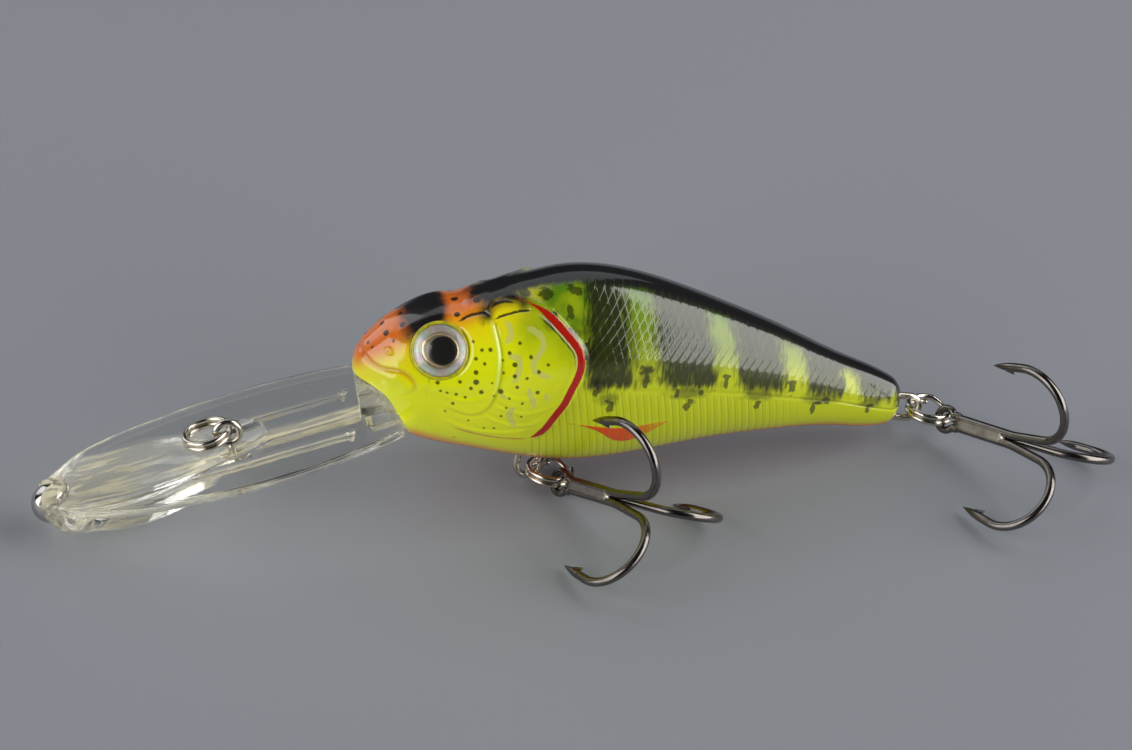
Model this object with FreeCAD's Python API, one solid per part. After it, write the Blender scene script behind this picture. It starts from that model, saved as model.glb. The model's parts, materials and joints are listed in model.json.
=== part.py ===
"""Deep-diving crankbait lure: a hollow two-piece body, a clear bill and two treble hooks on split rings.

Each piece is drawn in the lure's own upright axes: the nose tip at the origin, +X to the tail, +Z to the
back and the left flank towards -Y. lie_down() then turns it to the way the lure lies on a flat surface,
on its bill and its hooks, with the origin at the centre of the line-tie eyelet.
"""
import FreeCAD, Part
import math
import os
from FreeCAD import Matrix, Placement, Rotation, Vector

# ---- how the lure lies, in degrees --------------------------------------------------------------
TAIL_DROP = 11.9
TOP_LEAN = 10.9

# ---- body ---------------------------------------------------------------------------------------
# (distance from the nose, height of the back, height of the belly, half the width)
BODY_SECTIONS = [
    (0.2, 0.9, -1.9, 1.3), (1.2, 2.9, -4.2, 3.0), (3.0, 4.8, -6.2, 4.6), (6.0, 6.9, -8.3, 6.1),
    (10.0, 8.9, -9.6, 7.2), (16.0, 11.4, -10.3, 8.1), (23.0, 14.1, -11.0, 8.4), (30.0, 14.8, -10.8, 8.1),
    (38.0, 13.5, -8.9, 7.2), (46.0, 11.2, -6.6, 6.0), (54.0, 8.5, -4.9, 4.8), (62.0, 5.5, -4.2, 3.6),
    (68.0, 3.4, -3.9, 2.6), (70.0, 2.4, -3.2, 1.9),
]
WALL = 1.6
SECTION_POWER = 2.15
SECTION_POINTS = 9
CAVITY_FRONT = 13.5
CAVITY_REAR = 60.0
BULKHEADS = (20.6, 32.0, 56.0)
BULKHEAD_T = 1.4
PIN_R = 1.0
PIN_SPOTS = ((7.5, -2.6), (11.0, -1.6))
PIN_REACH = 2.9
PIN_GAP = 0.05

# the line on which the body meets the clear bill, from the nose down to the chin
CHIN_LINE = [(-1.0, -1.4), (1.0, -1.5), (2.8, -1.8), (4.3, -2.8), (5.7, -4.6), (7.4, -7.2), (8.9, -10.3)]

# ---- bill, in its own axes: X from the tip along the plate, Z out of the plate's top -------------
BILL_TIP = Vector(-35.0, 0, -22.1)
BILL_ANGLE = 23.1
BILL_OUTLINE = [(-0.6, 0.0), (0.0, 2.6), (1.2, 4.8), (4.2, 7.4), (7.5, 8.9), (14.0, 10.5), (21.0, 11.5),
                (27.0, 11.8), (34.0, 11.4), (40.0, 10.3), (46.0, 8.4)]
BILL_MIDDLE = 22.0
PLATE_LEVELS = ((0.0, 0.975), (-0.35, 1.0), (-1.5, 0.86))
# (distance from the tip, half width, depth under the plate's top)
KEEL_SECTIONS = [(-0.5, 3.1, 3.9), (2.0, 4.9, 5.4), (5.0, 6.4, 6.1), (8.5, 7.2, 6.6), (13.0, 7.0, 6.6),
                 (18.0, 5.5, 6.0), (25.0, 3.4, 4.0), (31.0, 2.8, 3.4), (38.0, 3.0, 2.8), (46.0, 4.6, 2.8)]
KEEL_TOP = -0.5
GUSSET = [(33.0, -0.5), (38.5, 2.3), (44.0, 4.2), (44.0, -0.5)]
GUSSET_HALF_W = 3.0
COLLAR_STEP = Vector(-2.4, 0, -1.5)
DISH_R = 4.6
DISH_DEPTH = 0.95
TANG_X = (3.0, 13.0)
TANG_Z = (-5.6, -0.6)
TANG_HALF_W = 1.5

# ---- ball at the tip of the bill ----------------------------------------------------------------
BALL_R = 2.55
BALL_AT = Vector(0.4, 0, -1.6)

# ---- wire loops and split rings -----------------------------------------------------------------
LOOP_WIRE_R = 0.45
EYELET_R = 1.48
EYELET_AT = Vector(23.5, 0, 1.15)
EYELET_SHANK = 3.6
EYELET_FOOT = 4.0
LOOP_HALF = 1.55
BELLY_LOOP_X = 24.3
BELLY_LOOP_END = -14.7
BELLY_LOOP_ROOT = -7.6
TAIL_LOOP_Z = -0.9
TAIL_LOOP_END = 72.95
TAIL_LOOP_ROOT = 63.5
LOOP_FOOT = 1.6
RING_WIRE_R = 0.36
RING_R = 2.8
RING_GAP = 0.03
RING_END_GAP = 6.0
RING_CROSSING = 50.0
RING_STEPS = 84

# where each ring's wire passes its loop, and how far round from straight ahead its centre lies
TIE_RING_HEIGHT = 1.05
TIE_RING_TURN = 28.0
BELLY_RING_Z = -13.4
BELLY_RING_TURN = 20.0
TAIL_RING_Z = -1.05
TAIL_RING_TURN = 0.0
TAIL_RING_IN_LOOP = 0.25

# ---- treble hooks: X along the shank, from the eye to the bends ----------------------------------
HOOK_WIRE_R = 0.57
HOOK_CLUSTER_R = 0.67
HOOK_EYE_R = 1.38
HOOK_EYE_WIRE_R = 0.46
SHANK_END = 10.0
SHANK_FLARE = 8.3
SHANK_FLARE_R = 12.0
HOOK_BEND_X = 15.1
HOOK_BEND_R = 5.0
HOOK_POINT_DIP = 10.0
HOOK_POINT_RUN = 4.9
POINT_L = 3.1
POINT_TIP_R = 0.04
BARB_L = 1.5
BARB_RISE = 0.42
BARB_HALF_T = 0.16
SINGLE_START = 2.3
# how far round its ring each treble hangs, and its shank and upper hook directions
BELLY_TREBLE_TURN = 69.0
BELLY_TREBLE_AXES = (Vector(0.436, -0.843, 0.315), Vector(-0.364, 0.154, 0.919))
TAIL_TREBLE_TURN = 54.0
TAIL_TREBLE_AXES = (Vector(0.511, -0.827, 0.233), Vector(-0.355, 0.044, 0.933))

# ---- eyes ---------------------------------------------------------------------------------------
EYE_AT = Vector(9.35, -5.35, 4.62)
EYE_TURN = 12.0
EYE_TILT = 27.0
EYE_R = 3.23
FOIL_T = 0.3
LENS_RISE = 0.95
PUPIL_R = 1.62
PUPIL_T = 0.08
SOCKET_DEPTH = 0.55

# ---- weights inside -----------------------------------------------------------------------------
BALLAST_AT = Vector(16.6, 0, -5.0)
BALLAST_R = 2.9
BALLAST_HALF_L = 3.8
BOSS_T = 1.0
RATTLE_R = 2.0
RATTLE_BORE_R = 2.15
RATTLE_Z = 2.0
RATTLE_X = {"front": 36.5, "middle": 43.5, "rear": 50.5}
RATTLE_PLAY = 1.4
RATTLE_BLOCK = (33.0, 54.0)
RATTLE_BLOCK_HALF_H = 3.2

# half sizes of cutting solids that pass right through the lure
WIDE = 20.0
TALL = 30.0

X_AXIS = Vector(1, 0, 0)
Y_AXIS = Vector(0, 1, 0)
Z_AXIS = Vector(0, 0, 1)
ORIGIN = Vector(0, 0, 0)


# ---- frames -------------------------------------------------------------------------------------
def bill_place(local=ORIGIN):
    """Placement of the bill's own axes, at a point given in them."""
    turn = Rotation(Y_AXIS, -BILL_ANGLE)
    return Placement(BILL_TIP + turn.multVec(local), turn)


EYELET = bill_place(EYELET_AT).Base


def resting():
    """Placement that lays the upright lure down and brings the eyelet's centre to the origin."""
    turn = Rotation(Y_AXIS, TAIL_DROP).multiply(Rotation(X_AXIS, -TOP_LEAN))
    return Placement(-turn.multVec(EYELET), turn)


def lie_down(shape):
    return moved(shape, resting())


def moved(shape, place):
    out = shape.copy()
    out.Placement = place.multiply(out.Placement)
    return out


def mirrored(shape):
    return shape.mirror(ORIGIN, Y_AXIS)


def axes_place(base, x_dir, z_dir):
    """Placement whose X and Z run along two square directions."""
    x = Vector(x_dir).normalize()
    z = Vector(z_dir)
    z = (z - x * z.dot(x)).normalize()
    y = z.cross(x)
    m = Matrix(x.x, y.x, z.x, base.x, x.y, y.y, z.y, base.y, x.z, y.z, z.z, base.z, 0, 0, 0, 1)
    return Placement(m)


# ---- small builders -----------------------------------------------------------------------------
def line(a, b):
    return Part.LineSegment(a, b).toShape()


def spline(points, tangents=None):
    curve = Part.BSplineCurve()
    if tangents:
        curve.interpolate(Points=points, InitialTangent=tangents[0], FinalTangent=tangents[1])
    else:
        curve.interpolate(points)
    return curve.toShape()


def block(x, y, z):
    """Box between the low and high values given for each axis."""
    return Part.makeBox(x[1] - x[0], y[1] - y[0], z[1] - z[0], Vector(x[0], y[0], z[0]))


def prism(points_xz, half_width, curved=0):
    """Solid of an outline in the XZ plane, as wide as given. Its first points can form one curve."""
    points = [Vector(x, -half_width, z) for x, z in points_xz]
    edges = [spline(points[:curved])] if curved else []
    rest = points[curved - 1:] if curved else points
    edges += [line(a, b) for a, b in zip(rest, rest[1:])]
    edges.append(line(points[-1], points[0]))
    return Part.Face(Part.Wire(edges)).extrude(Vector(0, 2 * half_width, 0))


def wire_tube(edges, radius):
    """Round wire along a smooth path."""
    path = Part.Wire(edges)
    first = path.OrderedEdges[0]
    start = first.valueAt(first.FirstParameter)
    direction = first.tangentAt(first.FirstParameter)
    profile = Part.Wire(Part.makeCircle(radius, start, direction))
    pipe = path.makePipeShell([profile], True, False)
    return pipe if pipe.Volume > 0 else pipe.reversed()


def fused(shapes):
    out = shapes[0].fuse(shapes[1:])
    out = out.removeSplitter()
    return out.Solids[0] if len(out.Solids) == 1 else out


# ---- body ---------------------------------------------------------------------------------------
def half_section(x, top, bottom, half_w):
    """Closed outline of the left half of one section: the flank as a curve, the middle as a line."""
    middle, half_h = (top + bottom) / 2, (top - bottom) / 2
    points = []
    for i in range(SECTION_POINTS):
        a = math.pi / 2 - math.pi * i / (SECTION_POINTS - 1)
        c, s = max(math.cos(a), 0.0), math.sin(a)
        y = half_w * c ** (2 / SECTION_POWER)
        z = half_h * math.copysign(abs(s) ** (2 / SECTION_POWER), s)
        points.append(Vector(x, -y, middle + z))
    flank = spline(points, (Vector(0, -1, 0), Vector(0, 1, 0)))
    return Part.Wire([flank, line(points[-1], points[0])])


def half_body(inset=0.0, front=None, rear=None):
    """Solid left half of the fish shape, drawn in by an inset, and cut to a stretch of its length."""
    sections = [half_section(x, top - inset, bottom + inset, half_w - inset)
                for x, top, bottom, half_w in BODY_SECTIONS if half_w > inset + 0.5]
    half = Part.makeLoft(sections, True, False)
    if front is not None:
        half = half.common(block((front, rear), (-WIDE, WIDE), (-TALL, TALL)))
    return half


def ahead_of_chin(step=ORIGIN):
    """Everything below and ahead of the line on which the body meets the bill."""
    outline = CHIN_LINE + [(8.9, -45.0), (-60.0, -45.0), (-60.0, -1.4)]
    region = prism(outline, WIDE, len(CHIN_LINE))
    region.translate(step)
    return region


def cavity():
    """Hollow of the left half, less the bulkheads, bosses and the block that guides the rattle balls."""
    hollow = half_body(WALL, CAVITY_FRONT, CAVITY_REAR)
    kept = [block((x - BULKHEAD_T / 2, x + BULKHEAD_T / 2), (-WIDE, 0), (-TALL, TALL)) for x in BULKHEADS]
    kept.append(block(RATTLE_BLOCK, (-WIDE, 0), (RATTLE_Z - RATTLE_BLOCK_HALF_H, RATTLE_Z + RATTLE_BLOCK_HALF_H)))
    boss_r = BALLAST_R + BOSS_T
    kept.append(Part.makeCylinder(boss_r, WIDE, BALLAST_AT - Vector(0, WIDE, 0), Y_AXIS))
    loop_half = LOOP_HALF + LOOP_FOOT + BOSS_T
    loop_top = BELLY_LOOP_ROOT + LOOP_WIRE_R + BOSS_T
    kept.append(block((BELLY_LOOP_X - loop_half, BELLY_LOOP_X + loop_half), (-WIDE, 0), (-TALL, loop_top)))
    return hollow.cut(kept)


def rattle_bore():
    front = RATTLE_X["front"] - RATTLE_R - 0.1
    rear = RATTLE_X["rear"] + RATTLE_R + 0.1
    return Part.makeCylinder(RATTLE_BORE_R, rear - front, Vector(front, 0, RATTLE_Z), X_AXIS)


def pins(radius, reach):
    """Round pins across the middle plane, through the tang of the bill."""
    return [Part.makeCylinder(radius, 2 * reach, Vector(x, -reach, z), Y_AXIS) for x, z in PIN_SPOTS]


def shells(inner_parts):
    half = half_body().cut(cavity())
    half = half.cut([ahead_of_chin(), rattle_bore()])
    socket = moved(Part.makeCylinder(EYE_R, 20, Vector(0, 0, -SOCKET_DEPTH)), eye_place())
    half = half.cut([socket, tang_block(PIN_GAP)] + inner_parts)
    left, right = half, mirrored(half)
    left = left.fuse(pins(PIN_R, PIN_REACH)).removeSplitter()
    right = right.cut(pins(PIN_R + PIN_GAP, PIN_REACH + PIN_GAP))
    return largest(left), largest(right)


def largest(shape):
    return max(shape.Solids, key=lambda s: s.Volume)


# ---- bill ---------------------------------------------------------------------------------------
def plate_wire(level, scale):
    """The plate's outline at one level, drawn in about the plate's middle."""
    side = [Vector(BILL_MIDDLE + (x - BILL_MIDDLE) * scale, y * scale, level) for x, y in BILL_OUTLINE]
    other = [Vector(p.x, -p.y, level) for p in side]
    curve = spline(other[:0:-1] + side)
    return Part.Wire([curve, line(side[-1], other[-1])])


def plate():
    wires = [plate_wire(level, scale) for level, scale in PLATE_LEVELS]
    halves = [Part.makeLoft([a, b], True, True) for a, b in zip(wires, wires[1:])]
    return fused(halves)


def keel():
    """Boat-shaped hull under the plate that thins to a rib."""
    wires = []
    for x, half_w, depth in KEEL_SECTIONS:
        points = [Vector(x, half_w * math.cos(a), KEEL_TOP - (depth + KEEL_TOP) * math.sin(a))
                  for a in [math.pi * i / 8 for i in range(9)]]
        wires.append(Part.Wire([spline(points, (Vector(0, 0, -1), Vector(0, 0, 1))), line(points[-1], points[0])]))
    return Part.makeLoft(wires, True, False)


def tang_block(gap=0.0):
    return block((TANG_X[0], TANG_X[1] + gap), (-TANG_HALF_W - gap, TANG_HALF_W + gap),
                 (TANG_Z[0] - gap, TANG_Z[1] + gap))


def tip_ball():
    return moved(Part.makeSphere(BALL_R), bill_place(BALL_AT))


def diving_bill(eyelet_wire):
    gusset = prism(GUSSET, GUSSET_HALF_W)
    flat = moved(fused([plate(), keel(), gusset]), bill_place())
    head = half_body(0.0, 0.2, 16.0)
    head = head.fuse(mirrored(head))
    collar = head.common(ahead_of_chin()).cut(ahead_of_chin(COLLAR_STEP))
    bill = flat.common(ahead_of_chin()).fuse([collar, tang_block()])
    dish_r = (DISH_R ** 2 + DISH_DEPTH ** 2) / (2 * DISH_DEPTH)
    dish = moved(Part.makeSphere(dish_r), bill_place(Vector(EYELET_AT.x, 0, dish_r - DISH_DEPTH)))
    bill = bill.cut([dish, tip_ball(), eyelet_wire] + pins(PIN_R + PIN_GAP, 5))
    return largest(bill.removeSplitter())


# ---- wire loops ---------------------------------------------------------------------------------
def line_tie_wire():
    """Eyelet with a shank and a cross foot that are moulded into the bill."""
    eye = Part.makeTorus(EYELET_R, LOOP_WIRE_R, ORIGIN, Y_AXIS)
    shank = Part.makeCylinder(LOOP_WIRE_R * 1.2, EYELET_SHANK, Vector(0, 0, -EYELET_R - EYELET_SHANK))
    foot = Part.makeCylinder(LOOP_WIRE_R, EYELET_FOOT, Vector(-EYELET_FOOT / 2, 0, -EYELET_R - EYELET_SHANK), X_AXIS)
    return moved(fused([eye, shank, foot]), bill_place(EYELET_AT))


def hanger(end, root):
    """Loop of wire in the XZ plane that hangs down: two legs with turned-out feet and a round end.

    end is the height of the wire's centre at the loop's lowest point, root that of its feet."""
    turn = end + LOOP_HALF
    bend = LOOP_WIRE_R * 2
    corner = bend * (1 - math.sqrt(0.5))
    edges = []
    for side in (-1, 1):
        x = side * LOOP_HALF
        heel = Vector(x + side * bend, 0, root)
        ankle = Vector(x, 0, root - bend)
        foot = line(Vector(x + side * LOOP_FOOT, 0, root), heel)
        turned = Part.Arc(heel, Vector(x + side * corner, 0, root - corner), ankle).toShape()
        run = [foot, turned, line(ankle, Vector(x, 0, turn))]
        edges += run if side < 0 else run[::-1]
    loop = Part.Arc(Vector(-LOOP_HALF, 0, turn), Vector(0, 0, end), Vector(LOOP_HALF, 0, turn)).toShape()
    return wire_tube(edges[:3] + [loop] + edges[3:], LOOP_WIRE_R)


def belly_hanger():
    return moved(hanger(BELLY_LOOP_END, BELLY_LOOP_ROOT), Placement(Vector(BELLY_LOOP_X, 0, 0), Rotation()))


def tail_hanger():
    loop = hanger(-TAIL_LOOP_END, -TAIL_LOOP_ROOT)
    return moved(loop, Placement(Vector(0, 0, TAIL_LOOP_Z), Rotation(Y_AXIS, -90)))


# ---- split rings --------------------------------------------------------------------------------
def ring_level(turn_deg):
    """Height of the wire's centre: flat for most of each turn, with one eased step between them."""
    rise = RING_WIRE_R * 2 + RING_GAP
    start = 360 - RING_CROSSING - RING_END_GAP
    t = min(max((turn_deg - start) / RING_CROSSING, 0.0), 1.0)
    return rise * (t * t * (3 - 2 * t) - 0.5)


def split_ring():
    """Two close turns of wire about Z, with their ends each side of the step between the turns."""
    end = 720 - RING_CROSSING - 4 * RING_END_GAP
    points = []
    for i in range(RING_STEPS + 1):
        deg = end * i / RING_STEPS
        a = math.radians(deg)
        points.append(Vector(RING_R * math.cos(a), RING_R * math.sin(a), ring_level(deg)))
    return wire_tube([spline(points)], RING_WIRE_R)


def round_ring(start, turn_deg):
    """Point one ring radius from another, turned from straight ahead towards the left flank.

    It takes a crossing point to its level ring's centre, and the centre to where a treble hangs."""
    a = math.radians(turn_deg)
    return start + Vector(RING_R * math.cos(a), -RING_R * math.sin(a), 0)


BELLY_CROSS = Vector(BELLY_LOOP_X, 0, BELLY_RING_Z)
TAIL_CROSS = Vector(TAIL_LOOP_END - LOOP_HALF + TAIL_RING_IN_LOOP, 0, TAIL_RING_Z)
BELLY_RING_CENTRE = round_ring(BELLY_CROSS, BELLY_RING_TURN)
TAIL_RING_CENTRE = round_ring(TAIL_CROSS, TAIL_RING_TURN)
TIE_CROSS = Vector(EYELET_AT.x, 0, TIE_RING_HEIGHT)
TIE_TURN = math.radians(TIE_RING_TURN)
TIE_RING_CENTRE = TIE_CROSS + Vector(-math.cos(TIE_TURN), math.sin(TIE_TURN), 0) * RING_R


def level_ring(centre, start_deg):
    return moved(split_ring(), Placement(centre, Rotation(Z_AXIS, start_deg)))


def line_tie_ring():
    return moved(level_ring(TIE_RING_CENTRE, 40), bill_place())


# ---- treble hooks -------------------------------------------------------------------------------
def hook_point(start, direction, side):
    """Tapered point with its barb on the side that faces the shank."""
    cone = Part.makeCone(HOOK_WIRE_R, POINT_TIP_R, POINT_L, start, direction)
    root = start + direction * (POINT_L - BARB_L - 0.9) + side * (HOOK_WIRE_R * 0.4)
    nose = start + direction * (POINT_L - 0.8) + side * 0.08
    tip = start + direction * (POINT_L - BARB_L - 1.3) + side * (HOOK_WIRE_R + BARB_RISE)
    barb = Part.Face(Part.makePolygon([root, nose, tip, root]))
    across = direction.cross(side) * BARB_HALF_T
    barb.translate(-across)
    return [cone, barb.extrude(across * 2)]


def hook_arm(start_x):
    """One hook in the XZ plane: shank, flare, round bend and barbed point, rising towards +Z."""
    flare = math.radians(SHANK_FLARE)
    z0 = HOOK_CLUSTER_R
    flare_end = Vector(SHANK_END + SHANK_FLARE_R * math.sin(flare), 0, z0 + SHANK_FLARE_R * (1 - math.cos(flare)))
    half = flare / 2
    flare_mid = Vector(SHANK_END + SHANK_FLARE_R * math.sin(half), 0, z0 + SHANK_FLARE_R * (1 - math.cos(half)))
    bend_start_x = HOOK_BEND_X + HOOK_BEND_R * math.sin(flare)
    bend_start_z = flare_end.z + (bend_start_x - flare_end.x) * math.tan(flare)
    centre_z = bend_start_z + HOOK_BEND_R * math.cos(flare)

    def on_bend(heading):
        return Vector(HOOK_BEND_X + HOOK_BEND_R * math.sin(heading), 0, centre_z - HOOK_BEND_R * math.cos(heading))

    last = math.pi + math.radians(HOOK_POINT_DIP)
    direction = Vector(math.cos(last), 0, math.sin(last))
    side = Vector(-direction.z, 0, direction.x)
    point_start = on_bend(last) + direction * (HOOK_POINT_RUN - POINT_L)
    path = [
        line(Vector(start_x, 0, z0), Vector(SHANK_END, 0, z0)),
        Part.Arc(Vector(SHANK_END, 0, z0), flare_mid, flare_end).toShape(),
        line(flare_end, on_bend(flare)),
        Part.Arc(on_bend(flare), on_bend((flare + last) / 2), on_bend(last)).toShape(),
        line(on_bend(last), point_start),
    ]
    return fused([wire_tube(path, HOOK_WIRE_R)] + hook_point(point_start, direction, side))


def arm_at(arm, deg):
    return moved(arm, Placement(ORIGIN, Rotation(X_AXIS, deg)))


def treble():
    """A double hook bent from one wire through its eye, and the single hook brazed behind it.

    The hooks point along 0, 120 and 240 degrees about the shank, and the eye's centre is the origin."""
    away = Vector(0, math.sin(math.radians(60)), -math.cos(math.radians(60)))
    arm = hook_arm(1.0)
    eye_offset = away * (HOOK_CLUSTER_R / 2)
    eye = Part.makeTorus(HOOK_EYE_R, HOOK_EYE_WIRE_R, -eye_offset, away)
    hole = Part.makeCylinder(HOOK_EYE_R - HOOK_EYE_WIRE_R, 6, -eye_offset - away * 3, away)
    braze = block((1.6, SHANK_END - 0.4), (-HOOK_CLUSTER_R, HOOK_CLUSTER_R), (-0.3, 0.3))
    braze = moved(braze, Placement(-away * 0.42, Rotation(X_AXIS, -120)))
    double = fused([arm_at(arm, 0).cut(hole), arm_at(arm, 120).cut(hole), eye, braze])
    single = arm_at(hook_arm(SINGLE_START), 240)
    shift = Placement(eye_offset, Rotation())
    return moved(double, shift), moved(single.cut(double), shift)


BELLY_EYE = round_ring(BELLY_RING_CENTRE, BELLY_TREBLE_TURN)
TAIL_EYE = round_ring(TAIL_RING_CENTRE, TAIL_TREBLE_TURN)


# ---- eyes ---------------------------------------------------------------------------------------
def eye_place():
    """Axes of the left eye: Z straight out of the socket, Y up the head."""
    out = Rotation(Z_AXIS, -EYE_TURN).multiply(Rotation(X_AXIS, 90 - EYE_TILT))
    return Placement(EYE_AT, out)


def eye_parts():
    """Foil disc, raised pupil and clear dome of the left eye."""
    foil = Part.makeCylinder(EYE_R, FOIL_T, Vector(0, 0, -SOCKET_DEPTH))
    top = FOIL_T - SOCKET_DEPTH
    pupil = Part.makeCylinder(PUPIL_R, PUPIL_T, Vector(0, 0, top))
    dome_r = (EYE_R ** 2 + LENS_RISE ** 2) / (2 * LENS_RISE)
    dome = Part.makeSphere(dome_r, Vector(0, 0, top + LENS_RISE - dome_r))
    dome = dome.common(Part.makeCylinder(EYE_R, 5, Vector(0, 0, top))).cut(pupil)
    return {name: moved(shape, eye_place()) for name, shape in
            (("eye_foil", foil), ("eye_pupil", pupil), ("eye_lens", dome))}


# ---- whole lure ---------------------------------------------------------------------------------
def build():
    eyelet_wire = line_tie_wire()
    bill = diving_bill(eyelet_wire)
    ballast = Part.makeCylinder(BALLAST_R, 2 * BALLAST_HALF_L, BALLAST_AT - Vector(0, BALLAST_HALF_L, 0), Y_AXIS)
    hangers = {"belly_hanger": belly_hanger(), "tail_hanger": tail_hanger()}
    left, right = shells([ballast] + list(hangers.values()))
    double, single = treble()
    parts = {
        "shell_left": left,
        "shell_right": right,
        "diving_bill": bill,
        "bill_tip_ball": tip_ball(),
        "line_tie_wire": eyelet_wire,
        "line_tie_ring": line_tie_ring(),
        "ballast_weight": ballast,
        "belly_ring": level_ring(BELLY_RING_CENTRE, 80),
        "tail_ring": level_ring(TAIL_RING_CENTRE, 80),
    }
    parts.update(hangers)
    for end, place in (("belly", axes_place(BELLY_EYE, *BELLY_TREBLE_AXES)),
                       ("tail", axes_place(TAIL_EYE, *TAIL_TREBLE_AXES))):
        parts[end + "_treble_double"] = moved(double, place)
        parts[end + "_treble_single"] = moved(single, place)
    for name, shape in eye_parts().items():
        parts[name + "_left"] = shape
        parts[name + "_right"] = mirrored(shape)
    for name, x in RATTLE_X.items():
        parts["rattle_ball_" + name] = Part.makeSphere(RATTLE_R, Vector(x, 0, RATTLE_Z))
    return parts


if __name__ == "__main__":
    os.makedirs("parts", exist_ok=True)
    for name, shape in build().items():
        placed = lie_down(shape)
        placed.exportStep("parts/" + name + ".step")
        print(name, "volume", round(placed.Volume, 2), "solids", len(placed.Solids), placed.isValid())
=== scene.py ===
"""Looks of a deep-diving crankbait lure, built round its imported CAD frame.

Lengths are millimetres. The body is drawn in the lure's own upright axes: nose tip at the origin,
+X to the tail, +Z to the back, left flank towards -Y. The bill, the eyes and the hooks have axes of
their own. A piece's vertices are laid in the frame, and its own_axes attribute keeps where they were
drawn, for its material.
"""
import json
from math import asin, cos, hypot, pi, radians, sin, tan

import bmesh
import bpy
import numpy as np
from mathutils import Matrix, Vector


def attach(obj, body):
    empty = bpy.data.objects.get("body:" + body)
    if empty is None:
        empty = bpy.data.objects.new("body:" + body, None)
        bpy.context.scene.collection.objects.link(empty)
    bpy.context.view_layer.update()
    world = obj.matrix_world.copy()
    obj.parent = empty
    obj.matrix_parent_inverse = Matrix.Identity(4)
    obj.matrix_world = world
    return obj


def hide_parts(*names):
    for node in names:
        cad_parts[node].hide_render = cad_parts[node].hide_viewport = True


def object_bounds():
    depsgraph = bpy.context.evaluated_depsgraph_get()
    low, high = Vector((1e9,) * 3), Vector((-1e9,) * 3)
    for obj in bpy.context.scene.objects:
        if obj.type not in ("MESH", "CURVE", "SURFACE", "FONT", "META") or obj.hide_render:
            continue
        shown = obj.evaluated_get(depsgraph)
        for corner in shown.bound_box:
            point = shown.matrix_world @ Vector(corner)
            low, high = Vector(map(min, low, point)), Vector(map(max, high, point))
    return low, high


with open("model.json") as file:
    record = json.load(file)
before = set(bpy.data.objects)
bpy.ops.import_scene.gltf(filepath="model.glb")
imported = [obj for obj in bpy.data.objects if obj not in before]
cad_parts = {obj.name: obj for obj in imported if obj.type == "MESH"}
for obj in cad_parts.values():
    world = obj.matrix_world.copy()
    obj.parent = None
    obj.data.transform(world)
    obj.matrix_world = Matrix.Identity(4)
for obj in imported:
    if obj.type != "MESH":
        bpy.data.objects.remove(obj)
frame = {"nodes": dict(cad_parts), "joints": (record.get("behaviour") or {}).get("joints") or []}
CAD_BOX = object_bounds()

MM = 0.001
NODES = frame["nodes"]
JOINTS = {joint["name"]: joint for joint in frame["joints"]}

# ---- frames --------------------------------------------------------------------------------------
BILL_TIP = Vector((-35.0, 0, -22.1))
BILL_ANGLE = radians(23.1)
EYELET_ON_BILL = Vector((23.5, 0, 1.15))

ahead = Vector(JOINTS["rattle_front_roll"]["axis"]).normalized()
across = Vector(JOINTS["tail_ring_swing"]["axis"]).normalized()
LURE_TURN = Matrix((ahead, across, ahead.cross(across))).transposed()
BILL_IN_LURE = Matrix.Translation(BILL_TIP) @ Matrix.Rotation(-BILL_ANGLE, 4, "Y")
EYELET = BILL_IN_LURE @ EYELET_ON_BILL
LURE = Matrix.Translation(LURE_TURN @ -EYELET) @ LURE_TURN.to_4x4()
BILL = LURE @ BILL_IN_LURE


def in_lure(point):
    """A frame point in metres, in the lure's axes in millimetres."""
    return LURE.inverted() @ (Vector(point) / MM)


def node_centre(name):
    """Middle of a CAD node's box, measured in the lure's axes."""
    inside = np.array([in_lure(v.co) for v in NODES[name].data.vertices])
    return Vector((inside.min(0) + inside.max(0)) / 2)


# ---- camera and studio ---------------------------------------------------------------------------
VIEW_TURN = radians(-7.5)
VIEW_RISE = radians(40.0)
VIEW_DISTANCE = 450.0
VIEW_ASIDE = 25.98
VIEW_BELOW = 2.195
LENS = 117.35
FLOOR_HALF = 3.0
WORLD_LIGHT = 0.05
# ways from the lure to each soft box's corners, its distance in metres, radiance and colour
SOFT_BOXES = {
    "right": (((0.45, -0.89, 0.01), (0.97, 0.24, 0.01), (0.86, 0.24, 0.45), (0.45, 0.25, 0.86)),
              1.3, 3.8, (1.0, 0.985, 0.96)),
    "left": (((-0.97, 0.25, 0.01), (-0.62, -0.78, 0.01), (-0.42, -0.52, 0.74), (-0.75, 0.15, 0.66)),
             1.3, 2.6, (1.0, 0.985, 0.96)),
    "back": (((0.55, 0.75, 0.35), (-0.85, 0.40, 0.35), (-0.45, 0.25, 0.86), (0.30, 0.42, 0.86)),
             1.4, 0.6, (0.93, 0.96, 1.0)),
    "dish": (((-0.82, 0.57, 0.09), (-0.34, 0.94, 0.09), (-0.24, 0.66, 0.71), (-0.58, 0.41, 0.71)),
             1.4, 1.3, (0.97, 0.98, 1.0))}


def linked(name, data):
    """New object of some data, in the scene."""
    made = bpy.data.objects.new(name, data)
    bpy.context.scene.collection.objects.link(made)
    return made


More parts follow.
